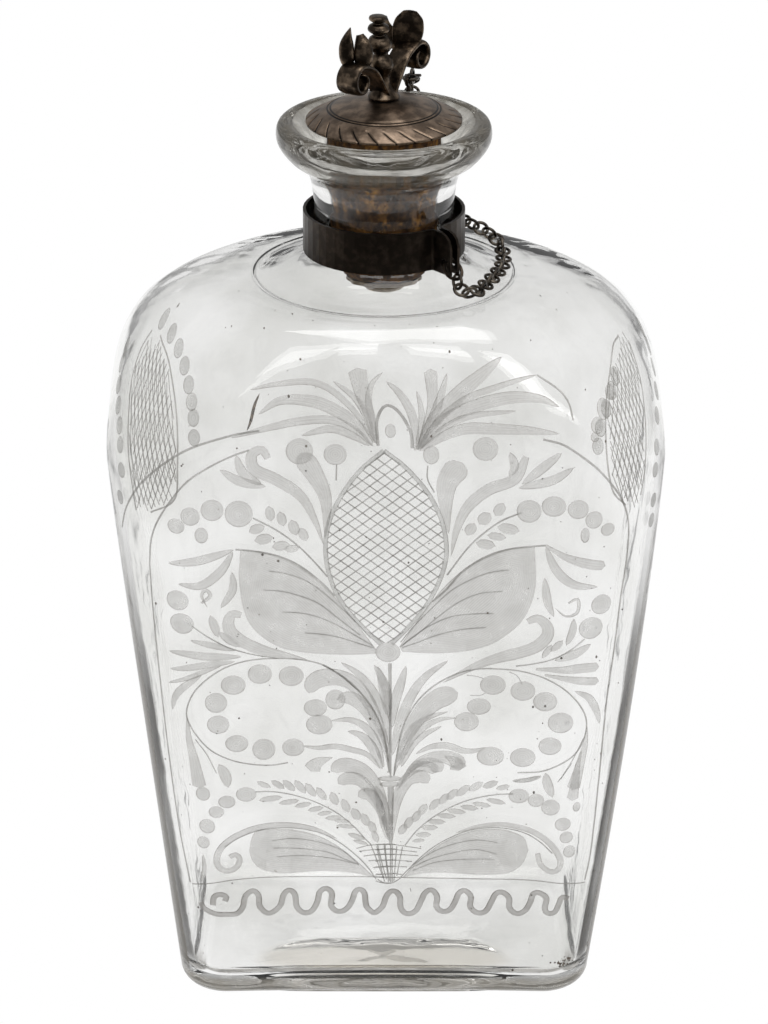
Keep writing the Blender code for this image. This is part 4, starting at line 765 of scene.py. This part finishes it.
# the tulip that the net fills: up the flask, its left edge and its right edge
TULIP_OUTLINE = (
    (102.5, -1.8, 1.3), (107.6, -6.2, 5.6), (112.6, -9.9, 9.2), (117.7, -12.5, 11.7), (122.8, -13.8, 13.3),
    (127.8, -14.2, 13.9), (132.9, -13.7, 13.4), (138, -12.3, 12), (143.1, -9.8, 9.5), (148.1, -6.2, 5.5),
    (153.2, -0.8, 0.1),
)
SIDE_BEADS = (
    (-60.6, 176.3), (-55.4, 174.9), (-51.8, 172.9), (-49, 170.1), (-47.1, 166.7), (-45.8, 163.5), (-45, 160.3),
    (-44.6, 156.1), (-74.1, 167.8), (-73.8, 164.8), (-72.2, 161), (-70, 157.5), (-67.7, 154), (-66.4, 150.2),
    (-65.4, 144.6), (-66.8, 137), (57.6, 166.4), (55.6, 164), (53.1, 160.9), (50.9, 157.3), (49.8, 153.6),
    (79.8, 169.9), (80.1, 166.3), (78.1, 162.7), (74.9, 159), (71.8, 154.8), (69.1, 148.8), (67.8, 143.8),
    (67.6, 135.9), (67.2, 130.6),
)
# a netted leaf of a narrow side: its left edge and its right edge
SIDE_LEAVES = (
    ((-63.3, 173.7, -65.4, 169.5, -65.8, 163.6, -64.4, 157, -62.9, 150, -61.5, 143.3, -60.4, 135.8),
     (-59.3, 173.7, -54.2, 170.2, -50.7, 164.1, -48.9, 157.2, -48.6, 148.4, -49.6, 140.7, -55.9, 136.4)),
    ((63.2, 172.8, 58.9, 171.1, 53.5, 162.5, 51.9, 152.5, 53.2, 142.8, 56.9, 138.1),
     (66.7, 171, 66.8, 163.4, 65.3, 155.8, 63.5, 147.6, 61.7, 139.3)),
)


def round_end(s):
    return math.sqrt(max(1.0 - s ** 2, 0.0))


# how the width of a cut runs from its first point to its last, as a share of the greatest width
CUT_WIDTHS = {
    "leaf": lambda s: math.sin(math.pi * s) ** 0.55,
    "oval": lambda s: round_end(2.0 * s - 1.0),
    "drop": lambda s: round_end(1.0 - s / 0.14) if s < 0.14 else ((1.0 - s) / 0.86) ** 0.8,
    "hook": lambda s: (math.sin(math.pi * min(s * 1.2 + 0.08, 1.0)) ** 0.5 if s < 0.5
                       else ((1.0 - s) / 0.5) ** 0.7),
    "blunt": lambda s: 0.25 + 0.75 * min(s * 1.6, 1.0) if s < 0.92 else round_end((s - 0.92) / 0.08),
    "fan": lambda s: 0.1 + 0.9 * s ** 0.8 if s < 0.94 else round_end((s - 0.94) / 0.06),
    "edged": lambda s: math.sin(math.pi * s ** 0.85) ** 0.6,
    "stem": lambda s: 1.0 - 0.45 * s,
    "curl": lambda s: math.sin(math.pi * min(s * 0.8 + 0.2, 1.0)) ** 0.45,
}
LEAST_SHARE = 0.02  # no cut comes quite to a point
# a line thinner than FINE_LINE is painted all across in the colour of a cut's edge shade
FINE_LINE = 0.95  # a line thinner than this is dark from edge to edge
LEAF_STEP, LINE_STEP, WAVE_STEP = 0.8, 1.0, 0.6
PETAL_BANDS, BEAD_SIDES, BEAD_PALE_RIM = 4, 22, 0.2
# the side of each bead's rim that is painted with shade, and how far round it reaches
BEAD_SHADED_SIDE, BEAD_SHADED_REACH = math.radians(235.0), -0.2
NET_PITCH, NET_WIDTH, NET_SLOPES, NET_STEPS = 2.2, 0.34, (0.80, -0.80), 240
SIDE_PITCH, SIDE_HATCH, SIDE_LINE, SIDE_SLOPES = 1.3, 0.28, 0.45, (3.0, -2.6, -4.5)
SIDE_LEAF_LEVELS, SIDE_BEAD = np.linspace(136.0, 173.0, 9), (1.5, 1.9)
WAVE_WIDTH = 1.5
SKIN_STEP, SKIN_REACH, SKIN_PROBE = 0.0005, 0.2, 0.3
SKIN_BODY_STEPS, SKIN_SHOULDER_STEPS = 70, 60
SKIN_COLUMNS = np.arange(-SKIN_REACH, SKIN_REACH + SKIN_STEP / 2, SKIN_STEP)
CUT_LIFT, LINE_LIFT = 0.00005, 0.00008  # clear of the glass, and the lines clear of the leaves they cross


def reach_along(line):
    """How far each point of a flat line lies from its start."""
    return np.concatenate(([0.0], np.cumsum(np.hypot(*np.diff(line, axis=0).T))))


def skin_table():
    """The flask's outline at every half millimetre round it, level by level from the foot to the crease."""
    rises, rows = [], []
    for level in body_levels(SKIN_BODY_STEPS) + shoulder_levels(SKIN_SHOULDER_STEPS):
        ring = np.array(body_ring(level))
        half = len(ring) // 2
        front = half + CORNER_STEPS + FACE_STEPS // 2
        ring = np.roll(ring, half - front, axis=0)
        ring = np.vstack((ring, ring[:1]))
        reach = reach_along(ring[:, :2])
        reach -= reach[half]
        rises.append(rises[-1] + math.hypot(*(ring[half][1:] - middle[1:])) if rises else FOOT_ROUND)
        middle = ring[half]
        rows.append([np.interp(SKIN_COLUMNS, reach, ring[:, axis]) for axis in range(3)])
    return np.array(rises), np.array(rows)


SKIN_RISES, SKIN_ROWS = skin_table()


def skin(places):
    """Points of the glass's outer surface for places in millimetres."""
    places = places / 1000.0
    row = np.interp(places[:, 1], SKIN_RISES, np.arange(len(SKIN_RISES)))
    column = np.clip((places[:, 0] + SKIN_REACH) / SKIN_STEP, 0, len(SKIN_COLUMNS) - 1.001)
    low, left = np.minimum(row.astype(int), len(SKIN_RISES) - 2), column.astype(int)
    up, along = (row - low)[:, None], (column - left)[:, None]
    lower = SKIN_ROWS[low, :, left] * (1 - along) + SKIN_ROWS[low, :, left + 1] * along
    upper = SKIN_ROWS[low + 1, :, left] * (1 - along) + SKIN_ROWS[low + 1, :, left + 1] * along
    return lower * (1 - up) + upper * up


def on_skin(places, lift):
    """The same, lifted off the glass along its outward direction."""
    places = np.array(places, float)
    aside = skin(places + (SKIN_PROBE, 0.0)) - skin(places - (SKIN_PROBE, 0.0))
    above = skin(places + (0.0, SKIN_PROBE)) - skin(places - (0.0, SKIN_PROBE))
    outward = np.cross(aside, above)
    outward /= np.linalg.norm(outward, axis=1)[:, None]
    return skin(places) + outward * lift


def even(points, step):
    """A smooth line through the points, cut into equal steps."""
    line = np.array(through(points))
    reach = reach_along(line)
    goals = np.linspace(0.0, reach[-1], max(5, int(reach[-1] / step)) + 1)
    return np.stack([np.interp(goals, reach, line[:, axis]) for axis in (0, 1)], axis=1)


class Cuts:
    """Cuts gathered into one mesh; every point keeps its distance from the cut's two edges in millimetres."""

    def __init__(self):
        self.places, self.faces, self.edges = [], [], []

    def strip(self, left, right):
        """A cut between two lines of equal length."""
        base = len(self.places)
        for a, b in zip(left, right):
            gap = math.hypot(*(b - a))
            self.places += [a, (a + b) / 2, b]
            self.edges += [(0.0, gap), (gap / 2, gap / 2), (gap, 0.0)]
        for k in range(base, base + 3 * (len(left) - 1), 3):
            self.faces += [(k, k + 1, k + 4, k + 3), (k + 1, k + 2, k + 5, k + 4)]

    def spread(self, spine, half):
        """A cut to both sides of a line, half as wide as it is to be."""
        along = np.gradient(spine, axis=0)
        along /= np.linalg.norm(along, axis=1)[:, None]
        aside = np.stack((-along[:, 1], along[:, 0]), axis=1) * half
        self.strip(spine + aside, spine - aside)

    def leaf(self, kind, width, *numbers):
        spine = even(np.reshape(numbers, (-1, 2)), LEAF_STEP)
        shares = [max(CUT_WIDTHS[kind](float(s)), LEAST_SHARE) for s in np.linspace(0.0, 1.0, len(spine))]
        self.spread(spine, np.array([width / 2 * share for share in shares])[:, None])

    def line(self, width, *numbers, step=LINE_STEP):
        spine = even(np.reshape(numbers, (-1, 2)), step)
        self.spread(spine, width / 2)
        if width < FINE_LINE:
            self.edges[-3 * len(spine):] = [(0.0, 0.0)] * (3 * len(spine))

    def petal(self, top, bottom):
        """A broad petal in bands from its upper edge to its lower one, with the edges of the whole petal."""
        lines = [even(np.reshape(edge, (-1, 2)), 1.0) for edge in (top, bottom)]
        count = max(len(line) for line in lines)
        goals = np.linspace(0, 1, count)
        upper, lower = [np.stack([np.interp(goals, np.linspace(0, 1, len(line)), line[:, axis])
                                  for axis in (0, 1)], axis=1) for line in lines]
        base = len(self.edges)
        for k in range(PETAL_BANDS):
            self.strip(upper + (lower - upper) * k / PETAL_BANDS, upper + (lower - upper) * (k + 1) / PETAL_BANDS)
        gaps = [float(gap) for gap in np.linalg.norm(lower - upper, axis=1)]
        self.edges[base:] = [((k + m / 2) / PETAL_BANDS * gap, gap - (k + m / 2) / PETAL_BANDS * gap)
                             for k in range(PETAL_BANDS) for gap in gaps for m in range(3)]

    def bead(self, x, y, half_width, half_height):
        base = len(self.places)
        radius = min(half_width, half_height)
        self.places.append(np.array((x, y)))
        self.edges.append((radius, radius))
        for k in range(BEAD_SIDES):
            turn = math.tau * k / BEAD_SIDES
            self.places.append(np.array((x + half_width * math.cos(turn), y + half_height * math.sin(turn))))
            # painted shade: each bead's rim is darker round its lower left side
            dark = math.cos(turn - BEAD_SHADED_SIDE) > BEAD_SHADED_REACH
            self.edges.append((0.0 if dark else BEAD_PALE_RIM, 0.0))
            self.faces.append((base, base + 1 + k, base + 1 + (k + 1) % BEAD_SIDES))

    def net(self, outline, pitch, slopes, width):
        """Families of parallel cuts, kept inside an outline given as rows of (up, left edge, right edge)."""
        ups, lefts, rights = (np.array(column) for column in zip(*outline))
        reach = 2.0 * max(abs(lefts).max(), abs(rights).max())
        across = np.linspace(-reach, reach, NET_STEPS)
        for slope in slopes:
            for start in np.arange(ups[0] - reach, ups[-1] + reach, pitch * math.hypot(1.0, slope)):
                up = start + slope * (across - (lefts + rights).mean() / 2)
                inside = np.flatnonzero((ups[0] < up) & (up < ups[-1]) & (np.interp(up, ups, lefts) < across)
                                        & (across < np.interp(up, ups, rights)))
                if len(inside) > 1:
                    first, last = inside[0], inside[-1]
                    self.line(width, across[first], up[first], across[last], up[last])

    def lay(self, name, look, lift=CUT_LIFT):
        """Lay the cuts on the glass as one piece."""
        mesh = bpy.data.meshes.new(name)
        mesh.from_pydata([tuple(p) for p in on_skin(self.places, lift)], [], self.faces)
        for side, label in enumerate(("from_left", "from_right")):
            layer = mesh.attributes.new(label, "FLOAT", "POINT")
            layer.data.foreach_set("value", [float(pair[side]) for pair in self.edges])
        mesh.shade_smooth()
        mesh.materials.append(look)
        made = stand(name, mesh)
        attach(made, "flask")


def wheel_cut(name, pale, deep, cover):
    """Ground glass: a grey veil with fine parallel wheel marks, and painted shade along its edges in the deep
    colour, strongest along one edge.
    """
    made, flow, join = finish(name, Metallic=0.0, Roughness=0.65, IOR=1.3)
    left = flow.node("Attribute", out=2, attribute_name="from_left")
    right = flow.node("Attribute", out=2, attribute_name="from_right")
    # painted shade: the cut darkens and thickens towards its left edge, and faintly towards its right one
    edge = left.below(0.10, 0.26).most(right.below(0.04, 0.15) * 0.35)
    marks = flow.maths("SINE", left.least(right) * 11.5) * 0.5 + 0.5
    worn = flow.noise(260.0).above(0.25, 0.75)
    join("Base Color", edge.blend(pale, deep))
    join("Alpha", ((cover + marks * 0.12 + edge * 0.16) * (0.72 + worn * 0.4)).least(1.0))
    return made


# each cut's look: its fill colour, the colour of its painted edge shade, and how much it covers
pale_cut = wheel_cut("pale_cut", (0.525, 0.512, 0.492), (0.34, 0.325, 0.30), 0.48)
deep_cut = wheel_cut("deep_cut", (0.40, 0.395, 0.375), (0.30, 0.29, 0.27), 0.50)
wave_cut = wheel_cut("wave_cut", (0.37, 0.355, 0.335), (0.17, 0.155, 0.135), 0.66)

front = Cuts()
for row in CUT_LEAVES:
    front.leaf(*row)
for petal in CUT_PETALS:
    front.petal(*petal)
for bead in CUT_BEADS:
    front.bead(*bead)
front.lay("front_flowers", pale_cut)

lines = Cuts()
for row in CUT_LINES:
    lines.line(*row)
lines.net(TULIP_OUTLINE, NET_PITCH, NET_SLOPES, NET_WIDTH)
lines.lay("front_lines", deep_cut, LINE_LIFT)

wave = Cuts()
for row in (WAVE, WAVE_CURL):
    wave.line(WAVE_WIDTH, *row, step=WAVE_STEP)
wave.lay("front_wave", wave_cut)

sides = Cuts()
for x, y in SIDE_BEADS:
    sides.bead(x, y, *SIDE_BEAD)
for edges in SIDE_LEAVES:
    left, right = [np.interp(SIDE_LEAF_LEVELS, *zip(*sorted(zip(edge[1::2], edge[::2])))) for edge in edges]
    sides.net(list(zip(SIDE_LEAF_LEVELS, left, right)), SIDE_PITCH, SIDE_SLOPES, SIDE_HATCH)
    for edge in edges:
        sides.line(SIDE_LINE, *edge)
sides.lay("side_flowers", deep_cut)


# Sand, fissure and dirt
# Grains of sand and grit caught in the old glass as it was blown, a short fissure in the shoulder,
# and dirt that has gathered in a lower corner.

SPECK_COUNT, SPECK_ACROSS, SPECK_LEVELS = 230, (-58.0, 58.0), (8.0, 192.0)
SAND_SHARE, SAND_SIZES, GRIT_SIZES, SPECK_TALL = 0.85, (0.09, 0.17), (0.2, 0.3), (0.8, 1.5)
DIRT_COUNT, DIRT_CORNER, DIRT_SPREAD, DIRT_SIZES = 26, (44.6, 10.3), (1.3, 0.8), (0.12, 0.38)
FISSURE, FISSURE_WIDE = (-29, 167.2, -30.2, 164.5, -31.1, 160.9, -32.1, 158.4), 0.75
SPECK_LIFT = 0.00011


def specks():
    chance = random.Random(17)
    grains = Cuts()
    for _ in range(SPECK_COUNT):
        size = chance.uniform(*SAND_SIZES) if chance.random() < SAND_SHARE else chance.uniform(*GRIT_SIZES)
        grains.bead(chance.uniform(*SPECK_ACROSS), chance.uniform(*SPECK_LEVELS), size,
                    size * chance.uniform(*SPECK_TALL))
    for _ in range(DIRT_COUNT):
        size = chance.uniform(*DIRT_SIZES)
        x, y = (middle + chance.gauss(0.0, spread) for middle, spread in zip(DIRT_CORNER, DIRT_SPREAD))
        grains.bead(x, y, size, size)
    grains.leaf("leaf", FISSURE_WIDE, *FISSURE)
    look, flow, join = finish("speck", Metallic=0.0, Roughness=0.7, Alpha=0.85)
    join("Base Color", flow.noise(900.0).above(0.3, 0.7).blend((0.020, 0.013, 0.008), (0.12, 0.085, 0.055)))
    grains.lay("specks", look, SPECK_LIFT)


specks()


# Neck band and clamp ring
# A strip of silver bent round the neck with its ends turned out as ears, and the wire ring that joins them.
# Long years have turned both nearly black, with a warm shine left on what hands rub.

def old_silver(name, dark, light, rough=(0.28, 0.5)):
    """Tarnished metal in dark and light patches, finely pitted."""
    made, flow, join = finish(name, Metallic=1.0)
    patches = flow.noise(420.0, 5.0)
    join("Base Color", patches.above(0.42, 0.72).blend(dark, light))
    join("Roughness", patches * (rough[1] - rough[0]) + rough[0])
    join("Normal", (patches * 0.6 + flow.noise(2600.0) * 0.4).bump(0.00012, 0.6))
    return made


def dress(node, look):
    """Give a plain solid its material."""
    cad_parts[node].data.materials.clear()
    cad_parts[node].data.materials.append(look)


dark_silver = old_silver("dark_silver", (0.030, 0.023, 0.018), (0.060, 0.046, 0.035))
dress("neck_band", dark_silver)
dress("clamp_ring", dark_silver)


# Cork, its washer and the rod
# A tapered stopper cut from bark, on an iron rod that comes down through it from the crest.
# A scalloped silver washer holds the cork from below, and the rod's hammered end holds the washer.

def cork_bark():
    """Dark wine-stained bark with amber patches and deep pores."""
    made, flow, join = finish("cork", Metallic=0.0, Roughness=0.8)
    pores = flow.noise(520.0, 6.0, (1.0, 1.0, 0.7))
    patches = flow.noise(170.0).above(0.50, 0.72)
    bark = pores.above(0.36, 0.70).blend((0.045, 0.018, 0.004), (0.20, 0.092, 0.022))
    join("Base Color", (patches * pores.above(0.40, 0.62)).blend(bark, (0.78, 0.36, 0.055)))
    join("Normal", pores.bump(0.0006, 0.8))
    return made


dress("cork", cork_bark())
pale_silver = old_silver("pale_silver", (0.15, 0.12, 0.09), (0.36, 0.30, 0.23))
dress("cork_washer", pale_silver)
dress("rod_rivet", pale_silver)
dress("stopper_rod", old_silver("rod_iron", (0.06, 0.05, 0.04), (0.16, 0.13, 0.11)))


# Cap
# A silver dome over the cork, spun thin on a lathe, which also turned the two rings round it.
# Slanting nicks were cut round its edge by hand afterwards.

CAP_EDGE, CAP_FOOT, CAP_RISE, CAP_LIP, CAP_HOLE = 0.01845, 0.2199, 0.0052, 0.0006, 0.0015
CAP_RINGS, RING_CUT, RING_WIDE = (0.01265, 0.01335), 0.00022, 0.00022
NICK_COUNT, NICK_CUT, NICK_SLANT, NICK_LONG, NICK_WIDE = 26, 0.00030, math.radians(-9.0), 0.0029, 0.07
NICK_STEPS = 16
CAP_MIDDLE, CAP_BORDER = np.linspace(0.002, 0.013, 24), np.linspace(0.0132, CAP_EDGE, 60)


def circle(radius, level, count, shift=0.0):
    """A level ring of points, moved aside by shift."""
    turns = [math.tau * k / count for k in range(count)]
    return [(radius * math.cos(turn) + shift, radius * math.sin(turn), level) for turn in turns]


def cap_silver():
    """Rubbed silver, near black in its turned rings and cut nicks."""
    made, flow, join = finish("cap_silver", Metallic=1.0)
    aside, deep, _ = flow.axes()
    out = (aside * aside + deep * deep) ** 0.5
    grooves = sum(abs(out - ring).below(0.00008, 0.00034) for ring in CAP_RINGS)
    turn = flow.maths("ARCTAN2", deep, aside) + (out - (CAP_EDGE - NICK_LONG)) * (NICK_SLANT / NICK_LONG)
    phase = abs(flow.maths("FLOORED_MODULO", turn * (NICK_COUNT / math.tau), 1.0) - 0.5)
    nicks = phase.below(0.02, 0.09) * out.above(CAP_EDGE - NICK_LONG * 1.25, CAP_EDGE - NICK_LONG * 0.9)
    patches = flow.noise(300.0, 5.0)
    silver = patches.above(0.35, 0.7).blend((0.125, 0.091, 0.066), (0.33, 0.245, 0.18))
    join("Base Color", (grooves + nicks).least(1.0).blend(silver, (0.006, 0.005, 0.004)))
    join("Roughness", patches * 0.25 + 0.22)
    join("Normal", flow.noise(2200.0).bump(0.0001, 0.5))
    return made


def cap():
    sphere = (CAP_EDGE ** 2 + CAP_RISE ** 2) / (2 * CAP_RISE)
    centre = CAP_FOOT + CAP_RISE - sphere
    around = NICK_COUNT * NICK_STEPS
    rings = []
    for radius in (CAP_HOLE, *CAP_MIDDLE, *CAP_BORDER):
        groove = sum(RING_CUT * math.exp(-((radius - r) / RING_WIDE) ** 2) for r in CAP_RINGS)
        ring = []
        for k in range(around):
            turn = math.tau * k / around
            out = (radius - (CAP_EDGE - NICK_LONG)) / NICK_LONG
            phase = (turn + NICK_SLANT * out) * NICK_COUNT / math.tau % 1.0 - 0.5
            nick = NICK_CUT * math.exp(-(phase / NICK_WIDE) ** 2) * min(max(out * 3.0 + 0.6, 0.0), 1.0)
            level = centre + math.sqrt(sphere ** 2 - radius ** 2) - groove - nick
            ring.append((radius * math.cos(turn), radius * math.sin(turn), level))
        rings.append(ring)
    for inset, level in ((0.0, CAP_FOOT - CAP_LIP), (0.0008, CAP_FOOT - CAP_LIP), (0.0010, CAP_FOOT)):
        rings.append(circle(CAP_EDGE - inset, level, around))
    made = loft("cap", rings)
    made.data.materials.append(cap_silver())
    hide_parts("cap_dome")
    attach(made, "stopper")


cap()


# Finial and cap eye
# A cast silver crest: two scrolls with a pair of leaves on each, and a turned knob between them.
# Its tang is the rod that goes down through the cap and the cork. A wire loop soldered behind it holds the last
# link of the chain.

CREST_TURN, CREST_FOOT = math.radians(56.0), 0.22525
KNOB_LEAN, KNOB_SIDES = 0.075, 40
KNOB_PROFILE = [(0.0, 0.0), (0.0037, 0.0), (0.0034, 0.0010), (0.0021, 0.0026), (0.0018, 0.0050), (0.0024, 0.0066),
                (0.0029, 0.0078), (0.0026, 0.0094), (0.0017, 0.0106), (0.0026, 0.0118), (0.0029, 0.0132),
                (0.0023, 0.0145), (0.0014, 0.0152), (0.0024, 0.0160), (0.0026, 0.0167), (0.0021, 0.0175),
                (0.0012, 0.0180), (0.0020, 0.0187), (0.0021, 0.0192), (0.0017, 0.0197), (0.0, 0.0199)]
PLATE_SIDES, PLATE_SQUARENESS = 20, 0.6
STRAP_SPINE = ((0.0010, 0.0, 0.0004), (0.0030, 0.0, 0.0034), (0.0066, 0.0, 0.0082))
STRAP_WIDTHS, STRAP_THICK = (0.0056, 0.0056, 0.0058, 0.0060, 0.0058, 0.0054), 0.0014
SCROLL_OUT, SCROLL_UP, SCROLL_RADIUS, SCROLL_STEPS = 0.0122, 0.0071, 0.0036, 10
SCROLL_START, SCROLL_BEND, SCROLL_SHRINK = 118.0, -40.0, 0.06
# for each scroll its leaves' root, thickness, hollow and sway; then, for each leaf, how far its tip leaves the
# crest's plane, how far its foot stands aside, its height, its lean, and its widths from the foot to the tip
CREST_LEAVES = (
    ((-0.0118, 0.0, 0.0100), 0.0013, 0.0006, 2.6, (
        (-0.0012, -0.0016, 0.0098, -0.0010, (0.0022, 0.0034, 0.0036, 0.0032, 0.0018, 0.0002)),
        (0.0012, 0.0017, 0.0078, 0.0006, (0.0024, 0.0040, 0.0045, 0.0044, 0.0039, 0.0030, 0.0017)))),
    ((0.0108, 0.0, 0.0088), 0.0014, -0.0007, 2.2, (
        (-0.0014, -0.0014, 0.0098, 0.0004, (0.0030, 0.0058, 0.0071, 0.0075, 0.0072, 0.0062, 0.0034)),
        (0.0018, -0.0018, 0.0080, -0.0030, (0.0018, 0.0032, 0.0038, 0.0036, 0.0026, 0.0008)))),
)


def plate(spine, widths, thick, flat_way, hollow=0.0):
    """A cast leaf or strap along a spine, its width along flat_way, its edges raised by hollow."""
    line = [Vector([float(v) for v in p]) for p in through(spine)]
    spread = [float(w[0]) for w in through([(w,) for w in widths])]
    rings = []
    for k, point in enumerate(line):
        share = k / (len(line) - 1)
        along = (line[min(k + 1, len(line) - 1)] - line[max(k - 1, 0)]).normalized()
        wide = (flat_way - along * flat_way.dot(along)).normalized()
        face = along.cross(wide)
        width = float(np.interp(share, np.linspace(0, 1, len(spread)), spread))
        half = thick / 2 * min(1.0, 0.35 + 2.5 * min(share, 1.0 - share))
        ring = []
        for j in range(PLATE_SIDES):
            turn = math.tau * j / PLATE_SIDES
            across, deep = (math.copysign(abs(v) ** PLATE_SQUARENESS, v) for v in (math.cos(turn), math.sin(turn)))
            ring.append(point + wide * (width / 2 * across) + face * (half * deep + hollow * across * across))
        rings.append(ring)
    ends = [[sum(ring, Vector()) / PLATE_SIDES] * PLATE_SIDES for ring in (rings[0], rings[-1])]
    return [ends[0]] + rings + [ends[1]]


def crest():
    """Two scrolled straps and their leaves, made in the crest's own upright plane and then turned on the cap."""
    turn = Matrix.Rotation(CREST_TURN, 4, "Z")
    aside = Vector((0.0, 1.0, 0.0))
    across_view = turn.inverted() @ Vector((1.0, 0.0, 0.0))
    parts = []
    for side in (-1.0, 1.0):
        spine = [(side * x, y, z) for x, y, z in STRAP_SPINE]
        for step in range(SCROLL_STEPS):
            bend = math.radians(SCROLL_START + SCROLL_BEND * step)
            out = SCROLL_RADIUS * (1.0 - SCROLL_SHRINK * step)
            spine.append((side * SCROLL_OUT + side * out * math.cos(bend), 0.0, SCROLL_UP + out * math.sin(bend)))
        parts.append(plate(spine, STRAP_WIDTHS, STRAP_THICK, aside))
    for root, thick, hollow, sway, leaves in CREST_LEAVES:
        for off, foot, tall, lean, widths in leaves:
            spine = [Vector(root) + aside * off * s + across_view * (foot + lean * math.sin(sway * s))
                     + Vector((0, 0, tall * s)) for s in (0.0, 0.25, 0.5, 0.75, 1.0)]
            parts.append(plate(spine, widths, thick, across_view, hollow))
    return [[[tuple(turn @ p) for p in ring] for ring in part] for part in parts]


def finial():
    knob = [circle(max(radius, 0.0), level, KNOB_SIDES, -KNOB_LEAN * level)
            for radius, level in through(KNOB_PROFILE, 3)]
    whole = bmesh.new()
    for part in [knob] + crest():
        piece = loft("crest_part", part)
        whole.from_mesh(piece.data)
        bpy.data.objects.remove(piece)
    bmesh.ops.translate(whole, verts=whole.verts, vec=(0.0, 0.0, CREST_FOOT))
    mesh = bpy.data.meshes.new("crest")
    whole.to_mesh(mesh)
    whole.free()
    mesh.shade_smooth()
    mesh.materials.append(old_silver("crest_silver", (0.040, 0.030, 0.022), (0.24, 0.178, 0.125), (0.22, 0.40)))
    made = stand("crest", mesh)
    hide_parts("finial")
    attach(made, "stopper")


finial()
dress("cap_eye", dark_silver)


# Chain
# Small rings bent from round silver wire, each closed through the last one.
# They run from the clamp ring round the back of the neck and over the lip to the loop on the cap.

LINK_TURNS, LINK_SIDES, WIRE_FULLNESS = 28, 10, 1.12


def link(node):
    """A smooth ring in the place of a plain link, found from where that link lies."""
    points = np.array([tuple(node.matrix_world @ v.co) for v in node.data.vertices])
    middle = points.mean(axis=0)
    flat = points - middle
    _, ways = np.linalg.eigh(np.cov(flat.T))
    normal = ways[:, 0]
    away = np.linalg.norm(flat - np.outer(flat @ normal, normal), axis=1)
    wire = (away.max() - away.min()) / 2 * WIRE_FULLNESS
    radius = away.max() - wire
    rings = []
    for j in range(LINK_SIDES):
        bend = math.tau * j / LINK_SIDES
        out, up = radius + wire * math.cos(bend), wire * math.sin(bend)
        rings.append([middle + out * (math.cos(math.tau * k / LINK_TURNS) * ways[:, 2]
                                      + math.sin(math.tau * k / LINK_TURNS) * ways[:, 1]) + up * normal
                      for k in range(LINK_TURNS)])
    made = loft(node.name + "_ring", rings, closed=True)
    made.data.materials.append(chain_silver)
    return made


chain_silver = old_silver("chain_silver", (0.045, 0.038, 0.032), (0.21, 0.18, 0.145), (0.22, 0.42))
for name, node in sorted(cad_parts.items()):
    if name.startswith("chain_link"):
        ring = link(node)
        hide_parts(name)
        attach(ring, "chain_%02d" % ((int(name[-2:]) + 1) // 2))
